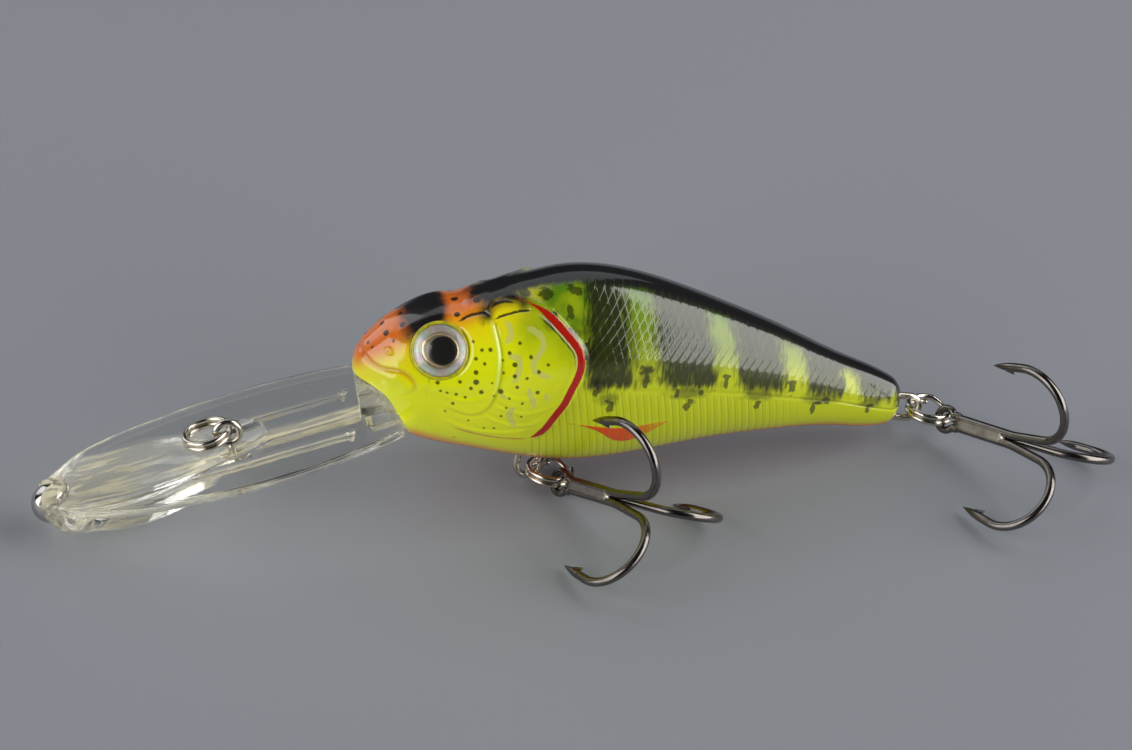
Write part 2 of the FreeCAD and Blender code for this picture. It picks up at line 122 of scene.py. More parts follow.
def camera():
    """Long lens above the left flank, aimed a little behind the nose."""
    level = cos(VIEW_RISE)
    back = Vector((sin(VIEW_TURN) * level, -cos(VIEW_TURN) * level, sin(VIEW_RISE)))
    right = Vector((cos(VIEW_TURN), sin(VIEW_TURN), 0))
    up = back.cross(right)
    nose = LURE.translation
    data = bpy.data.cameras.new("camera")
    data.lens = LENS
    data.clip_start = 0.01
    made = linked("camera", data)
    spot = nose + back * VIEW_DISTANCE + right * VIEW_ASIDE - up * VIEW_BELOW
    made.matrix_world = Matrix.Translation(spot * MM) @ Matrix((right, up, back)).transposed().to_4x4()
    bpy.context.scene.camera = made


def soft_box(name, ways, distance, radiance, colour):
    """Flat glowing panel whose corners lie along the ways given from the lure, out of the camera's sight."""
    ways = [Vector(way) for way in ways]
    facing = sum(ways, Vector()).normalized()
    mesh = bpy.data.meshes.new(name)
    mesh.from_pydata([way * (distance / way.dot(facing)) for way in ways], [], [list(range(len(ways)))])
    s = Shader(name)
    glow = s.add("Emission", {"Color": (*colour, 1), "Strength": radiance})
    s.tree.links.new(glow.outputs[0], s.out.inputs["Surface"])
    mesh.materials.append(s.material)
    made = linked(name, mesh)
    made.visible_camera = False


# ---- small numeric helpers -----------------------------------------------------------------------
def smoothstep(low, high, value):
    t = np.clip((value - low) / (high - low), 0, 1)
    return t * t * (3 - 2 * t)


def bump(value, width):
    """Rounded ridge: one at zero, nothing beyond a few widths."""
    return np.exp(-(value / width) ** 2)


def spline(knots, values):
    """Natural cubic spline through values at rising knots, as a function."""
    knots = np.asarray(knots, float)
    values = np.asarray(values, float)
    count = len(knots)
    steps = np.diff(knots)
    slopes = np.diff(values, axis=0) / steps.reshape((-1,) + (1,) * (values.ndim - 1))
    system = np.eye(count)
    right = np.zeros(values.shape)
    for i in range(1, count - 1):
        system[i, i - 1:i + 2] = steps[i - 1], 2 * (steps[i - 1] + steps[i]), steps[i]
        right[i] = 6 * (slopes[i] - slopes[i - 1])
    bends = np.linalg.solve(system, right)

    def at(t):
        t = np.clip(np.asarray(t, float), knots[0], knots[-1])
        i = np.clip(np.searchsorted(knots, t) - 1, 0, count - 2)
        shape = t.shape + (1,) * (values.ndim - 1)
        step = steps[i].reshape(shape)
        a = (knots[i + 1] - t).reshape(shape) / step
        b = 1 - a
        bend = (a ** 3 - a) * bends[i] + (b ** 3 - b) * bends[i + 1]
        return a * values[i] + b * values[i + 1] + bend * step ** 2 / 6

    return at


def curve_through(points, step=0.25):
    """Evenly spaced points on a smooth curve through a few points."""
    points = np.asarray(points, float)
    lengths = np.concatenate([[0], np.cumsum(np.linalg.norm(np.diff(points, axis=0), axis=1))])
    count = max(int(lengths[-1] / step), 4)
    return spline(lengths, points)(np.linspace(0, lengths[-1], count + 1))


def near(curve, x, z, reach=3.0):
    """Distance from points to a curve, the side they lie on (+1 to its left) and the length along it."""
    distance = np.full(x.shape, 50.0)
    side = np.ones(x.shape)
    along = np.zeros(x.shape)
    low, high = curve.min(0) - reach, curve.max(0) + reach
    close = (x > low[0]) & (x < high[0]) & (z > low[1]) & (z < high[1])
    px, pz = x[close], z[close]
    best = np.full(px.shape, 50.0)
    best_side = np.ones(px.shape)
    best_along = np.zeros(px.shape)
    done = 0.0
    for (ax, az), (bx, bz) in zip(curve[:-1], curve[1:]):
        dx, dz = bx - ax, bz - az
        length = hypot(dx, dz)
        t = np.clip(((px - ax) * dx + (pz - az) * dz) / length ** 2, 0, 1)
        gap = np.hypot(px - ax - t * dx, pz - az - t * dz)
        nearer = gap < best
        best[nearer] = gap[nearer]
        best_side[nearer] = np.sign(dx * (pz - az) - dz * (px - ax))[nearer]
        best_along[nearer] = (done + t * length)[nearer]
        done += length
    distance[close], side[close], along[close] = best, best_side, best_along
    return distance, side, along


def tapered(along, length, start, end):
    """One along a curve, easing to nothing over the start and end lengths given."""
    return smoothstep(0, start, along) * smoothstep(0, end, length - along)


def curve_length(curve):
    return float(np.linalg.norm(np.diff(curve, axis=0), axis=1).sum())


def follow(curve, x, z, reach, start, end):
    """Distance from points to a curve, the same with a sign (more on its left), and its tapered share."""
    distance, side, along = near(curve, x, z, reach)
    return distance, side * distance, tapered(along, curve_length(curve), start, end)


# ---- mesh helpers --------------------------------------------------------------------------------
def grid_faces(index):
    """Quads of a grid of vertex numbers. Corners that share a vertex are merged, and slivers dropped."""
    quads = np.stack([index[:-1, :-1], index[1:, :-1], index[1:, 1:], index[:-1, 1:]], -1).reshape(-1, 4)
    faces = [list(dict.fromkeys(quad)) for quad in quads.tolist()]
    return [face for face in faces if len(face) > 2]


def tube(rings):
    """Skin over equal rings of points, with flat ends."""
    points = np.array(rings)
    index = np.arange(points.shape[0] * points.shape[1]).reshape(points.shape[:2])
    faces = grid_faces(np.concatenate([index, index[:, :1]], 1))
    return points.reshape(-1, 3), faces + [index[0].tolist(), index[-1].tolist()[::-1]]


def joined(shapes):
    """Several (points, faces) pairs as one."""
    points, faces, offset = [], [], 0
    for some_points, some_faces in shapes:
        points.append(np.asarray(some_points, float))
        faces += [[v + offset for v in face] for face in some_faces]
        offset += len(some_points)
    return np.concatenate(points), faces


def turned(shape, place):
    """A (points, faces) pair moved by a matrix."""
    points, faces = shape
    turn = np.array(place.to_3x3())
    return np.asarray(points) @ turn.T + np.array(place.translation), faces


def wire(path, radius, sides=20, flat=1.0, flat_way=None):
    """Round wire along a path, with a radius for each point. flat squeezes it along flat_way."""
    path = np.asarray(path, float)
    radius = np.broadcast_to(np.asarray(radius, float), (len(path),))
    ways = np.gradient(path, axis=0)
    ways /= np.linalg.norm(ways, axis=1)[:, None]
    first = np.array(flat_way if flat_way is not None else Vector(ways[0]).orthogonal(), float)
    rings = []
    for spot, way, r in zip(path, ways, radius):
        first = first - way * first.dot(way)
        first /= np.linalg.norm(first)
        second = np.cross(way, first)
        turn = 2 * pi * np.arange(sides) / sides
        rings.append(spot + r * (flat * np.cos(turn)[:, None] * first + np.sin(turn)[:, None] * second))
    points = np.concatenate(rings + [path[:1], path[-1:]])
    index = np.arange(len(path) * sides).reshape(len(path), sides)
    index = np.concatenate([index, index[:, :1]], 1)
    faces = grid_faces(index)
    start, end = len(points) - 2, len(points) - 1
    for i in range(sides):
        faces.append([int(index[0, i]), int(index[0, i + 1]), start])
        faces.append([int(index[-1, i + 1]), int(index[-1, i]), end])
    return points, faces


def revolved(profile, turns=96, shape=None):
    """Surface of a radius and height profile turned about Z. shape scales the radius at each angle."""
    angle = 2 * pi * np.arange(turns) / turns
    scale = np.ones(turns) if shape is None else shape(angle)
    points, index = [], []
    for r, z in profile:
        if r < 1e-6:
            index.append([len(points)] * (turns + 1))
            points.append((0, 0, z))
            continue
        ring = list(range(len(points), len(points) + turns))
        index.append(ring + ring[:1])
        points += [(r * s * cos(a), r * s * sin(a), z) for a, s in zip(angle, scale)]
    return np.array(points), grid_faces(np.array(index).T)


def piece(name, shape, place, material, body="lure_body", sharp=None, masks=None, replaces=()):
    """Object of a (points, faces) pair that rides on a body and stands for the CAD nodes named."""
    placed, faces = turned(shape, place)
    mesh = bpy.data.meshes.new(name)
    mesh.from_pydata((placed * MM).tolist(), [], faces)
    drawn = np.asarray(shape[0], np.float32).ravel()
    mesh.attributes.new("own_axes", "FLOAT_VECTOR", "POINT").data.foreach_set("vector", drawn)
    for key, values in (masks or {}).items():
        mesh.attributes.new(key, "FLOAT", "POINT").data.foreach_set("value", np.asarray(values, np.float32))
    mesh.shade_smooth()
    if sharp is not None:
        mesh.set_sharp_from_angle(angle=radians(sharp))
    mesh.materials.append(material)
    made = linked(name, mesh)
    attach(made, body)
    if replaces:
        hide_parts(*replaces)


# ---- shader helpers ------------------------------------------------------------------------------
class Shader:
    """A new material with short calls to add its nodes. It takes places in the piece's own axes if asked."""

    def __init__(self, name, own_axes=False):
        self.own_axes = own_axes
        self.material = bpy.data.materials.new(name)
        self.material.use_nodes = True
        self.tree = self.material.node_tree
        self.tree.nodes.clear()
        self.out = self.tree.nodes.new("ShaderNodeOutputMaterial")

    def add(self, kind, inputs=None, **settings):
        made = self.tree.nodes.new("ShaderNode" + kind)
        for key, value in settings.items():
            setattr(made, key, value)
        for key, value in (inputs or {}).items():
            if isinstance(value, bpy.types.NodeSocket):
                self.tree.links.new(value, made.inputs[key])
            else:
                made.inputs[key].default_value = value
        return made

    def place(self, stretch=(1, 1, 1), turn=(0, 0, 0)):
        """Places on the surface in millimetres, stretched and turned."""
        if self.own_axes:
            where, unit = self.add("Attribute", attribute_name="own_axes").outputs["Vector"], 1.0
        else:
            where, unit = self.add("TexCoord").outputs["Object"], MM
        scale = [s / unit for s in stretch]
        return self.add("Mapping", {"Vector": where, "Scale": scale, "Rotation": turn}).outputs[0]

    def axes(self):
        """Places on the surface in millimetres, as three values."""
        return self.add("SeparateXYZ", {0: self.place()}).outputs

    def math(self, operation, a, b=0.0, c=0.0):
        return self.add("Math", {0: a, 1: b, 2: c}, operation=operation).outputs[0]

    def times(self, a, b):
        return self.math("MULTIPLY", a, b)

    def plus(self, a, b):
        return self.math("ADD", a, b)

    def minus(self, a, b):
        return self.math("SUBTRACT", a, b)

    def noise(self, scale, detail=3.0, where=None):
        return self.add("TexNoise", {"Vector": where or self.place(), "Scale": scale,
                                     "Detail": detail}).outputs["Fac"]

    def dust(self, scale):
        """Distance to the nearest of some scattered spots."""
        spots = self.add("TexVoronoi", {"Vector": self.place(), "Scale": scale, "Randomness": 1.0})
        return spots.outputs["Distance"]

    def ramp(self, value, low, high, out_low=0.0, out_high=1.0):
        """Smooth change of a value between two limits."""
        return self.add("MapRange", {"Value": value, "From Min": low, "From Max": high, "To Min": out_low,
                                     "To Max": out_high}, interpolation_type="SMOOTHSTEP").outputs[0]

    def mask(self, name):
        return self.add("Attribute", attribute_name=name).outputs["Fac"]

    def torn(self, name, noise, low, high, by):
        """A mask whose edge wanders with a noise."""
        return self.plus(self.mask(name), self.ramp(noise, low, high, -by, by))

    def feathered(self, name, feather, reach):
        """A mask whose faint edge is broken up by a noise."""
        return self.plus(self.mask(name), self.times(feather, self.ramp(self.mask(name), 0.02, reach)))

    def mix(self, factor, a, b):
        a = a if isinstance(a, bpy.types.NodeSocket) else (*a, 1)
        b = b if isinstance(b, bpy.types.NodeSocket) else (*b, 1)
        return self.add("Mix", {0: factor, 6: a, 7: b}, data_type="RGBA").outputs[2]

    def coats(self, base, *layers):
        """A colour under layers of paint, each a share and a colour."""
        for share, colour in layers:
            base = self.mix(share, base, colour)
        return base

    def bump(self, height, strength, distance):
        inputs = {"Height": height, "Strength": strength, "Distance": distance * MM}
        return self.add("Bump", inputs).outputs[0]

    def finish(self, inputs):
        shader = self.add("BsdfPrincipled", inputs)
        self.tree.links.new(shader.outputs[0], self.out.inputs["Surface"])
        return self.material


def linear(red, green, blue):
    """Linear colour of an 8-bit screen colour."""
    shares = [c / 255 for c in (red, green, blue)]
    return tuple(s / 12.92 if s < 0.0405 else ((s + 0.055) / 1.055) ** 2.4 for s in shares)


# ---- body shape ----------------------------------------------------------------------------------
# (distance from the nose, height of the back, height of the belly, half the width)
BODY_SECTIONS = np.array([
    (0.0, -0.45, -0.45, 0.0), (0.2, 0.9, -1.9, 1.3), (1.2, 2.9, -4.2, 3.0), (3.0, 4.8, -6.2, 4.6),
    (6.0, 6.9, -8.3, 6.1), (10.0, 8.9, -9.6, 7.2), (16.0, 11.4, -10.3, 8.1), (23.0, 14.1, -11.0, 8.4),
    (30.0, 14.8, -10.8, 8.1), (38.0, 13.5, -8.9, 7.2), (46.0, 11.2, -6.6, 6.0), (54.0, 8.5, -4.9, 4.8),
    (62.0, 5.5, -3.85, 3.6), (68.0, 3.4, -3.4, 2.6), (70.0, 2.4, -2.8, 1.9)])
SECTION_POWER = 2.15
BODY_LENGTH = 70.0
TAIL_ROUND = 1.5
CHIN_LINE = [(-1.0, -1.4), (1.0, -1.5), (2.8, -1.8), (4.3, -2.8), (5.7, -4.6), (7.4, -7.2), (8.9, -10.3)]
COLUMN = 0.16
NOSE_STEP = 0.055
FLANK_ROWS = 168
CHIN_ROWS = 8
SKIN_CREASE = 60

section_at = spline(np.sqrt(BODY_SECTIONS[:, 0]), BODY_SECTIONS[:, 1:])
chin_height = spline(*zip(*CHIN_LINE))


def sections(x):
    """Middle height, half height and half width of the body at distances from the nose."""
    top, bottom, half_w = section_at(np.sqrt(np.clip(x, 0, None))).T
    into_end = np.clip(x - (BODY_LENGTH - TAIL_ROUND), 0, TAIL_ROUND)
    inset = TAIL_ROUND - np.sqrt(TAIL_ROUND ** 2 - into_end ** 2)
    half_h = np.clip((top - bottom) / 2 - inset, 0, None)
    return (top + bottom) / 2, half_h, np.clip(half_w - inset, 0, None)


def body_columns():
    """Distances from the nose: close together at the round nose and tail, and even between."""
    even_from = COLUMN / NOSE_STEP / 2
    nose = (np.arange(0, even_from, NOSE_STEP)) ** 2
    middle = np.arange(nose[-1] + COLUMN, BODY_LENGTH - TAIL_ROUND, COLUMN)
    tail = BODY_LENGTH - TAIL_ROUND * (1 - np.sin(np.linspace(0.05, 1, 14) * pi / 2))
    return np.concatenate([nose, middle, tail])


def body_grid():
    """Points of the left flank, from the back down to the belly or to the chin's cut, for each column."""
    x = body_columns()
    middle, half_h, half_w = sections(x)
    ratio = (chin_height(x) - middle) / np.maximum(half_h, 1e-6)
    opened = (ratio > -1) & (x < CHIN_LINE[-1][0])
    low = np.where(opened, np.clip(ratio, -1, 1), -1.0)
    last = np.arcsin(np.sign(low) * np.abs(low) ** (SECTION_POWER / 2))
    share = np.linspace(0, 1, FLANK_ROWS + 1)
    angle = pi / 2 + share[None, :] * (last[:, None] - pi / 2)
    c, s = np.clip(np.cos(angle), 0, None), np.sin(angle)
    y = -half_w[:, None] * c ** (2 / SECTION_POWER)
    z = middle[:, None] + half_h[:, None] * np.sign(s) * np.abs(s) ** (2 / SECTION_POWER)
    y[:, 0] = 0
    y[~opened, -1] = 0
    points = np.stack([np.broadcast_to(x[:, None], y.shape), y, z], -1)
    return points, opened


def outward(points, opened):
    """Unit normals of the flank grid, square to the middle plane on the back and belly."""
    normals = np.cross(np.gradient(points, axis=1), np.gradient(points, axis=0))
    normals[:, 0, 1] = 0
    normals[~opened, -1, 1] = 0
    normals[0] = (-1, 0, 0)
    size = np.linalg.norm(normals, axis=-1, keepdims=True)
    return normals / np.maximum(size, 1e-9)


# ---- lines and spots on the flank: (distance from the nose, height) ------------------------------
GILL_EDGE = curve_through([
    (18, 11.3), (19.4, 11.2), (21.2, 10.7), (23.1, 9.5), (24.5, 8.3), (25.6, 7.1), (26, 5.7), (25.9, 4.2),
    (25.4, 2.5), (24.8, 0.3), (23.9, -1.7), (22.9, -4), (21.4, -5.6)])
CHEEK_EDGE = curve_through([
    (15.1, 9.2), (15.6, 7.8), (16.1, 6.3), (16.4, 4.5), (16.5, 2.9), (16.4, 1.3), (16.0, -0.5), (15.2, -2.0),
    (13.9, -2.6), (11.8, -2.2), (10.7, -1.9), (9.4, -1.4)])
FOLDS = list(map(curve_through, (
    [(9.1, -0.4), (11.6, -0.7), (13.0, -0.7), (14.3, -0.4), (15.4, 0.2), (16.2, 1.2)],
    [(15.9, -0.6), (17.1, -1.1), (18.6, -1.5), (20.0, -1.6), (21.3, -1.4), (22.9, -0.6), (24.4, 0.7)],
    [(17.0, 1.2), (18.4, 0.5), (19.7, 0.4), (20.9, 0.7), (22.2, 1.5), (24.0, 3.2)],
    [(15.2, -2.3), (16.8, -3.0), (18.4, -3.5), (20.0, -3.6), (21.5, -3.1), (23.2, -1.6)],
    [(10.4, -3.8), (12.5, -4.4), (15.0, -4.9), (17.8, -4.9), (20.2, -4.5), (22.0, -3.6)])))
LOWER_GILL = curve_through([(11.9, -4.9), (15.1, -5.5), (18.3, -5.8), (21.6, -5.6)])
UPPER_GILL = list(map(curve_through, (
    [(11, 8), (12, 8.7), (13.5, 9.3), (14.5, 9.5), (15.2, 9.1)],
    [(15.2, 9.1), (16, 9.6), (17.1, 10.1), (18.4, 10.6), (19.9, 10.9)])))
ARCHES = list(map(curve_through, (
    [(14.5, 9.4), (14.7, 10.0), (15.1, 10.6), (15.9, 11.1), (16.9, 11.45), (17.9, 11.6), (18.7, 11.4)],
    [(14.8, 9.8), (15.3, 10.3), (15.9, 10.65), (16.9, 11.0), (17.9, 11.1)])))
LATERAL = curve_through([
    (26.1, 5), (27.2, 4.2), (28.3, 3.6), (29.7, 3.2), (31.7, 2.9), (34.3, 2.6), (39.5, 2.5), (44.8, 2.4),
    (50.3, 2), (55.7, 1.5), (61.3, 1), (67, 0.1), (69.6, -0.3)])
MOUTH = curve_through([(0.15, 2.2), (0.9, 1.6), (1.8, 1.15), (3.3, 1.1), (4.9, 1.35), (6.2, 0.9), (6.9, -0.1),
                       (6.5, -1.0), (5.3, -1.5)])
JAW_LOBE = curve_through([(3.9, 0.3), (5.2, 0.35), (6.0, -0.3)])
BROW = curve_through([(3.6, 5.2), (5.5, 6.6), (7.6, 7.7), (9.6, 8.3)])
# (curves, lengths of their fading ends, ridges and grooves beside them: height, distance to the left, width)
MOULDED_LINES = (
    (FOLDS, (1.5, 1.5), ((0.09, 0, 0.2), (-0.05, 0.4, 0.25))),
    (UPPER_GILL, (0.6, 0.6), ((-0.16, 0, 0.2), (0.05, 0.5, 0.45))),
    (ARCHES, (0.8, 0.8), ((0.09, 0, 0.22), (-0.09, -0.4, 0.28))),
    ([MOUTH], (0.5, 1.6), ((-0.15, 0, 0.3), (0.06, 0.55, 0.4))))
PAINTED_BROW = curve_through([(4.4, 6.0), (6.8, 7.4), (9.4, 8.5)])
SQUIGGLES = list(map(curve_through, (
    [(16.3, 9.4), (17.1, 8.9), (17.3, 7.8), (16.5, 6.9)],
    [(18.9, 9.2), (19.8, 9.0), (21.0, 8.4), (21.3, 7.4), (20.8, 6.2), (20.5, 4.7), (21.5, 4.0), (23.1, 3.8)],
    [(17.0, 5.5), (18.5, 5.6), (18.8, 4.1), (18.2, 2.2)],
    [(20.3, 2.4), (20.7, 1.2), (21.2, 0.2), (21.5, -0.9)],
    [(22.3, 1.8), (23.1, 0.3)],
    [(19.3, -0.5), (18.6, -1.9), (19.2, -3.0), (20.0, -4.0)],
    [(16.9, 1.2), (17.9, 0.0)])))
SQUIGGLE_HALF_W = 0.38
FIN_TOP = ((26.2, 29.7, 32.9, 35.4, 37.4, 39.2), (-2.7, -2.95, -3.1, -2.7, -2.2, -1.8))
FIN_LOW = ((26.2, 29.7, 31.0, 32.0, 33.0, 34.2, 35.2, 36.5, 37.6, 39.2),
           (-2.8, -3.5, -4.2, -4.9, -5.3, -5.35, -5.0, -4.1, -3.2, -1.8))
# (distance from the nose, height, radius)
DOTS = [
    (9.4, 1.1, .24), (9.9, .1, .17), (10.7, 0, .17), (11.8, 0, .2), (12.9, -.2, .2), (11.6, -1.3, .2),
    (12, 1.7, .22), (13.9, 2, .35), (13.4, 1.1, .22), (14.7, .8, .27), (13.7, 3.2, .28),
    (13.5, 4.8, .22), (14.6, 4.4, .2), (13, 6.6, .17), (14.1, 5.9, .2), (15.1, 6.1, .24),
    (17.4, 6.1, .23), (16.7, 5.1, .15), (18.2, 4.8, .3), (18.4, 3.4, .26), (17, 3.6, .17),
    (15.8, 2.2, .15), (17, 1.2, .33), (16.3, .5, .18), (18.2, .4, .18), (18.5, 7.4, .2), (20, 6, .25),
    (22.2, 5.3, .2), (21.2, 4.3, .24), (19.9, 3.3, .2), (18.9, 2, .22), (21.5, 1.6, .26),
    (19.9, -.1, .18), (18.1, -1, .17), (17.7, -2.3, .17), (16, -4.4, .15), (17.2, -4.3, .17),
    (20.1, -2, .15), (12.9, -6.8, .12), (13.9, -3.5, .13), (10.9, -2.6, .14)]
# (distance from the nose, side, height, radius)
HEAD_SPOTS = [
    (1.4, -1.2, 2.7, .3), (1.9, -2.1, 2.6, .32), (3.0, 0, 4.8, .35), (3.3, -1.9, 4.5, .42),
    (4.1, -3.2, 4.2, .3), (5.1, -2.1, 5.9, .4), (5.0, 0, 6.3, .3), (6.6, -3.5, 6.0, .3),
    (9.3, -1.2, 8.4, .5), (8.8, 0, 8.2, .4), (11.1, 0, 9.2, .5), (11.1, -3.0, 8.6, .38),
    (13.3, 0, 10.3, .45), (13.5, -1.9, 10.1, .5)]
# (distance from the nose, height, half length, half height)
BLOTCHES = [
    (30.9, 0.0, .55, .8), (30.4, 0.9, .3, .3), (29.0, 2.6, .5, .5), (40.9, 0.3, .42, .8),
    (41.2, 1.0, .55, .4), (50.1, 0.4, .36, .6), (50.2, 0.9, .5, .25), (57.7, 0.0, .3, .9),
    (58.2, 0.8, .55, .3), (65.1, 0.0, .3, .7), (65.5, 0.6, .5, .25), (34.7, 5.2, .9, .7),
    (34.9, 4.2, .45, .8), (34.8, 3.2, .3, .45), (45.3, 3.6, .42, .9), (45.2, 4.5, .5, .3),
    (54.3, 3.0, .5, .9), (54.1, 3.7, .7, .3), (39.2, 2.2, .3, .6), (42.4, 2.3, .3, .4),
    (59.4, 1.3, .5, .6), (21.4, 12.6, .9, .45), (25.0, 13.4, 1.0, .4), (18.9, 12.2, .9, .45),
    (24.3, 11.4, .5, .75), (24.3, 9.4, .6, .5), (27.0, 6.5, .9, .3), (26.6, 8.0, .4, .35),
    (28.7, 1.9, .35, .6), (22.4, 11.0, .35, .5)]
SMUDGES = [
    (29.3, 3.3, 1.7, .9), (30.4, 1.4, 1.6, 1.3), (40.6, 2.2, 3.0, .9), (50.0, 2.0, 2.6, .9),
    (58.6, 1.5, 2.6, .9), (65.3, 0.8, 2.0, .7), (25.2, 9.0, 1.2, 1.2), (27.3, 7.2, 1.3, 1.0),
    (34.8, 4.4, 1.2, 1.5), (22.0, 10.2, 1.2, 1.0)]
BAR_GAPS = ((34.6, 1.5), (45.0, 1.3), (54.2, 1.3), (61.7, 0.9), (68.3, 0.8))
FIRST_BAR = 26.6
BELLY_RIB = 0.92
RIB_LEAN = 0.28
SCALE_RISE = radians(57)
SCALE_FALL = radians(68)
SCALE_PITCH = 0.96

# ---- eyes ----------------------------------------------------------------------------------------
EYE_AT = Vector((9.35, -5.35, 4.62))
EYE_TURN = radians(-15)
EYE_TILT = radians(63)
EYE_PLACE = (Matrix.Translation(EYE_AT) @ Matrix.Rotation(EYE_TURN, 4, "Z")
             @ Matrix.Rotation(EYE_TILT, 4, "X"))
RIM_R = 3.42
DOME_HALF_W = 3.14
DOME_RISE = 0.95
EYE_CREASE = 38
PUPIL_SHIFT = (0.3, 0.05, 0)


# ---- moulded relief ------------------------------------------------------------------------------
def saw(value):
    """Slow rise and quick fall of each overlapping scale."""
    part = value - np.floor(value)
    return np.where(part < 0.8, part / 0.8, (1 - part) / 0.2)


def relief(x, z, y):
    """Height of the moulded detail above the smooth flank."""
    height = np.zeros(x.shape)
    distance, left, fade = follow(GILL_EDGE, x, z, 7, 2.5, 3.0)
    inside = -left
    plate = 0.2 * bump(inside, 6.0)
    behind = -0.27 * bump(inside, 3.2)
    step = smoothstep(-1.25, -0.6, inside)
    height += fade * (behind + (plate - behind) * step) * (distance < 20)
    height += fade * 0.05 * bump(inside - 0.75, 0.28)

    _, left, fade = follow(CHEEK_EDGE, x, z, 5, 0.8, 3.5)
    inside = -left
    height += fade * (0.1 * bump(inside, 3.0) * smoothstep(-0.16, 0.16, inside)
                      + 0.05 * bump(inside - 0.25, 0.2))
    height -= fade * 0.1 * bump(inside + 0.28, 0.22)

    distance, left, fade = follow(LOWER_GILL, x, z, 3, 2, 1)
    height += 0.14 * fade * smoothstep(-0.2, 0.2, left) * bump(distance, 1.6)
    for curves, ends, ridges in MOULDED_LINES:
        for curve in curves:
            _, left, fade = follow(curve, x, z, 3, *ends)
            height += fade * sum(rise * bump(left - aside, width) for rise, aside, width in ridges)
    height += 0.26 * bump(near(JAW_LOBE, x, z, 3)[0], 1.0)
    height += 0.27 * bump(near(BROW, x, z, 5)[0], 1.5)
    height -= 0.4 * bump(x - 11.0, 1.5) * smoothstep(7.0, 8.6, z)
    nostril = np.hypot(x - 3.5, z - 3.2)
    height += 0.2 * smoothstep(0.5, 0.28, nostril) - 0.16 * bump(nostril, 0.16)

    distance, side, along = near(LATERAL, x, z, 2)
    left = side * distance
    fade = smoothstep(0, 1.0, along)
    height += fade * (0.02 * smoothstep(-0.1, 0.12, left) * bump(distance, 2.0)
                      - 0.08 * bump(left + 0.1, 0.14) + 0.02 * bump(left - 0.2, 0.15))
    crest = np.maximum(saw(rising_phase(x, z)), 0.85 * saw(falling_phase(x, z)))
    height += scaled(x, z, y) * 0.028 * (crest - 0.6)
    height += ribbed(x, z) * 0.02 * np.cos(2 * pi * (x + RIB_LEAN * z) / BELLY_RIB)
    fin = fin_depth(x, z)
    rays = 0.02 * np.cos(2 * pi * (x * 0.35 + z) / 0.55)
    height += 0.06 * smoothstep(-0.15, 0.15, fin) + rays * smoothstep(0, 0.2, fin)
    return height


def rising_phase(x, z):
    return (x * sin(SCALE_RISE) - z * cos(SCALE_RISE)) / SCALE_PITCH


def falling_phase(x, z):
    return (x * sin(SCALE_FALL) + z * cos(SCALE_FALL)) / SCALE_PITCH


def lateral_height(x):
    return np.interp(x, LATERAL[:, 0], LATERAL[:, 1])


def behind_gill(x, z):
    """One behind the gill plate's rear edge, nothing ahead of it."""
    edge = np.interp(z, GILL_EDGE[::-1, 1], GILL_EDGE[::-1, 0])
    start = np.where(z > GILL_EDGE[0, 1], 18.0, edge)
    return smoothstep(0.3, 1.2, x - start)


def scaled(x, z, y):
    """Share of the scale pattern: above the lateral line and behind the gill, up to the smooth back."""
    above = smoothstep(0.1, 0.5, z - lateral_height(x))
    return above * behind_gill(x, z) * smoothstep(1.5, 2.3, -y) * smoothstep(70, 68.5, x)


def ribbed(x, z):
    """Share of the upright ribs under the lateral line."""
    below = smoothstep(0.3, 0.9, lateral_height(x) - z)
    return below * behind_gill(x, z) * smoothstep(58, 50, x)


def fin_depth(x, z):
    """Distance inside the painted fin."""
    top = spline(*FIN_TOP)(x)
    low = spline(*FIN_LOW)(x)
    inside = np.minimum(top - z, z - low)
    return np.where((x > FIN_TOP[0][0]) & (x < FIN_TOP[0][-1]), inside, -1.0)


# ---- painted areas -------------------------------------------------------------------------------
def nearest_oval(x, z, ovals):
    """Distance from the middle of the nearest oval, one at its edge."""
    return np.min([np.hypot((x - sx) / a, (z - sz) / b) for sx, sz, a, b in ovals], axis=0)


def nearest_line(x, z, curves, half_w):
    """Distance to the edge of the nearest line, whose ends taper."""
    found = np.full(x.shape, 9.0)
    for curve in curves:
        distance, _, fade = follow(curve, x, z, 2, 1.0, 1.0)
        found = np.minimum(found, distance - half_w * fade)
    return found


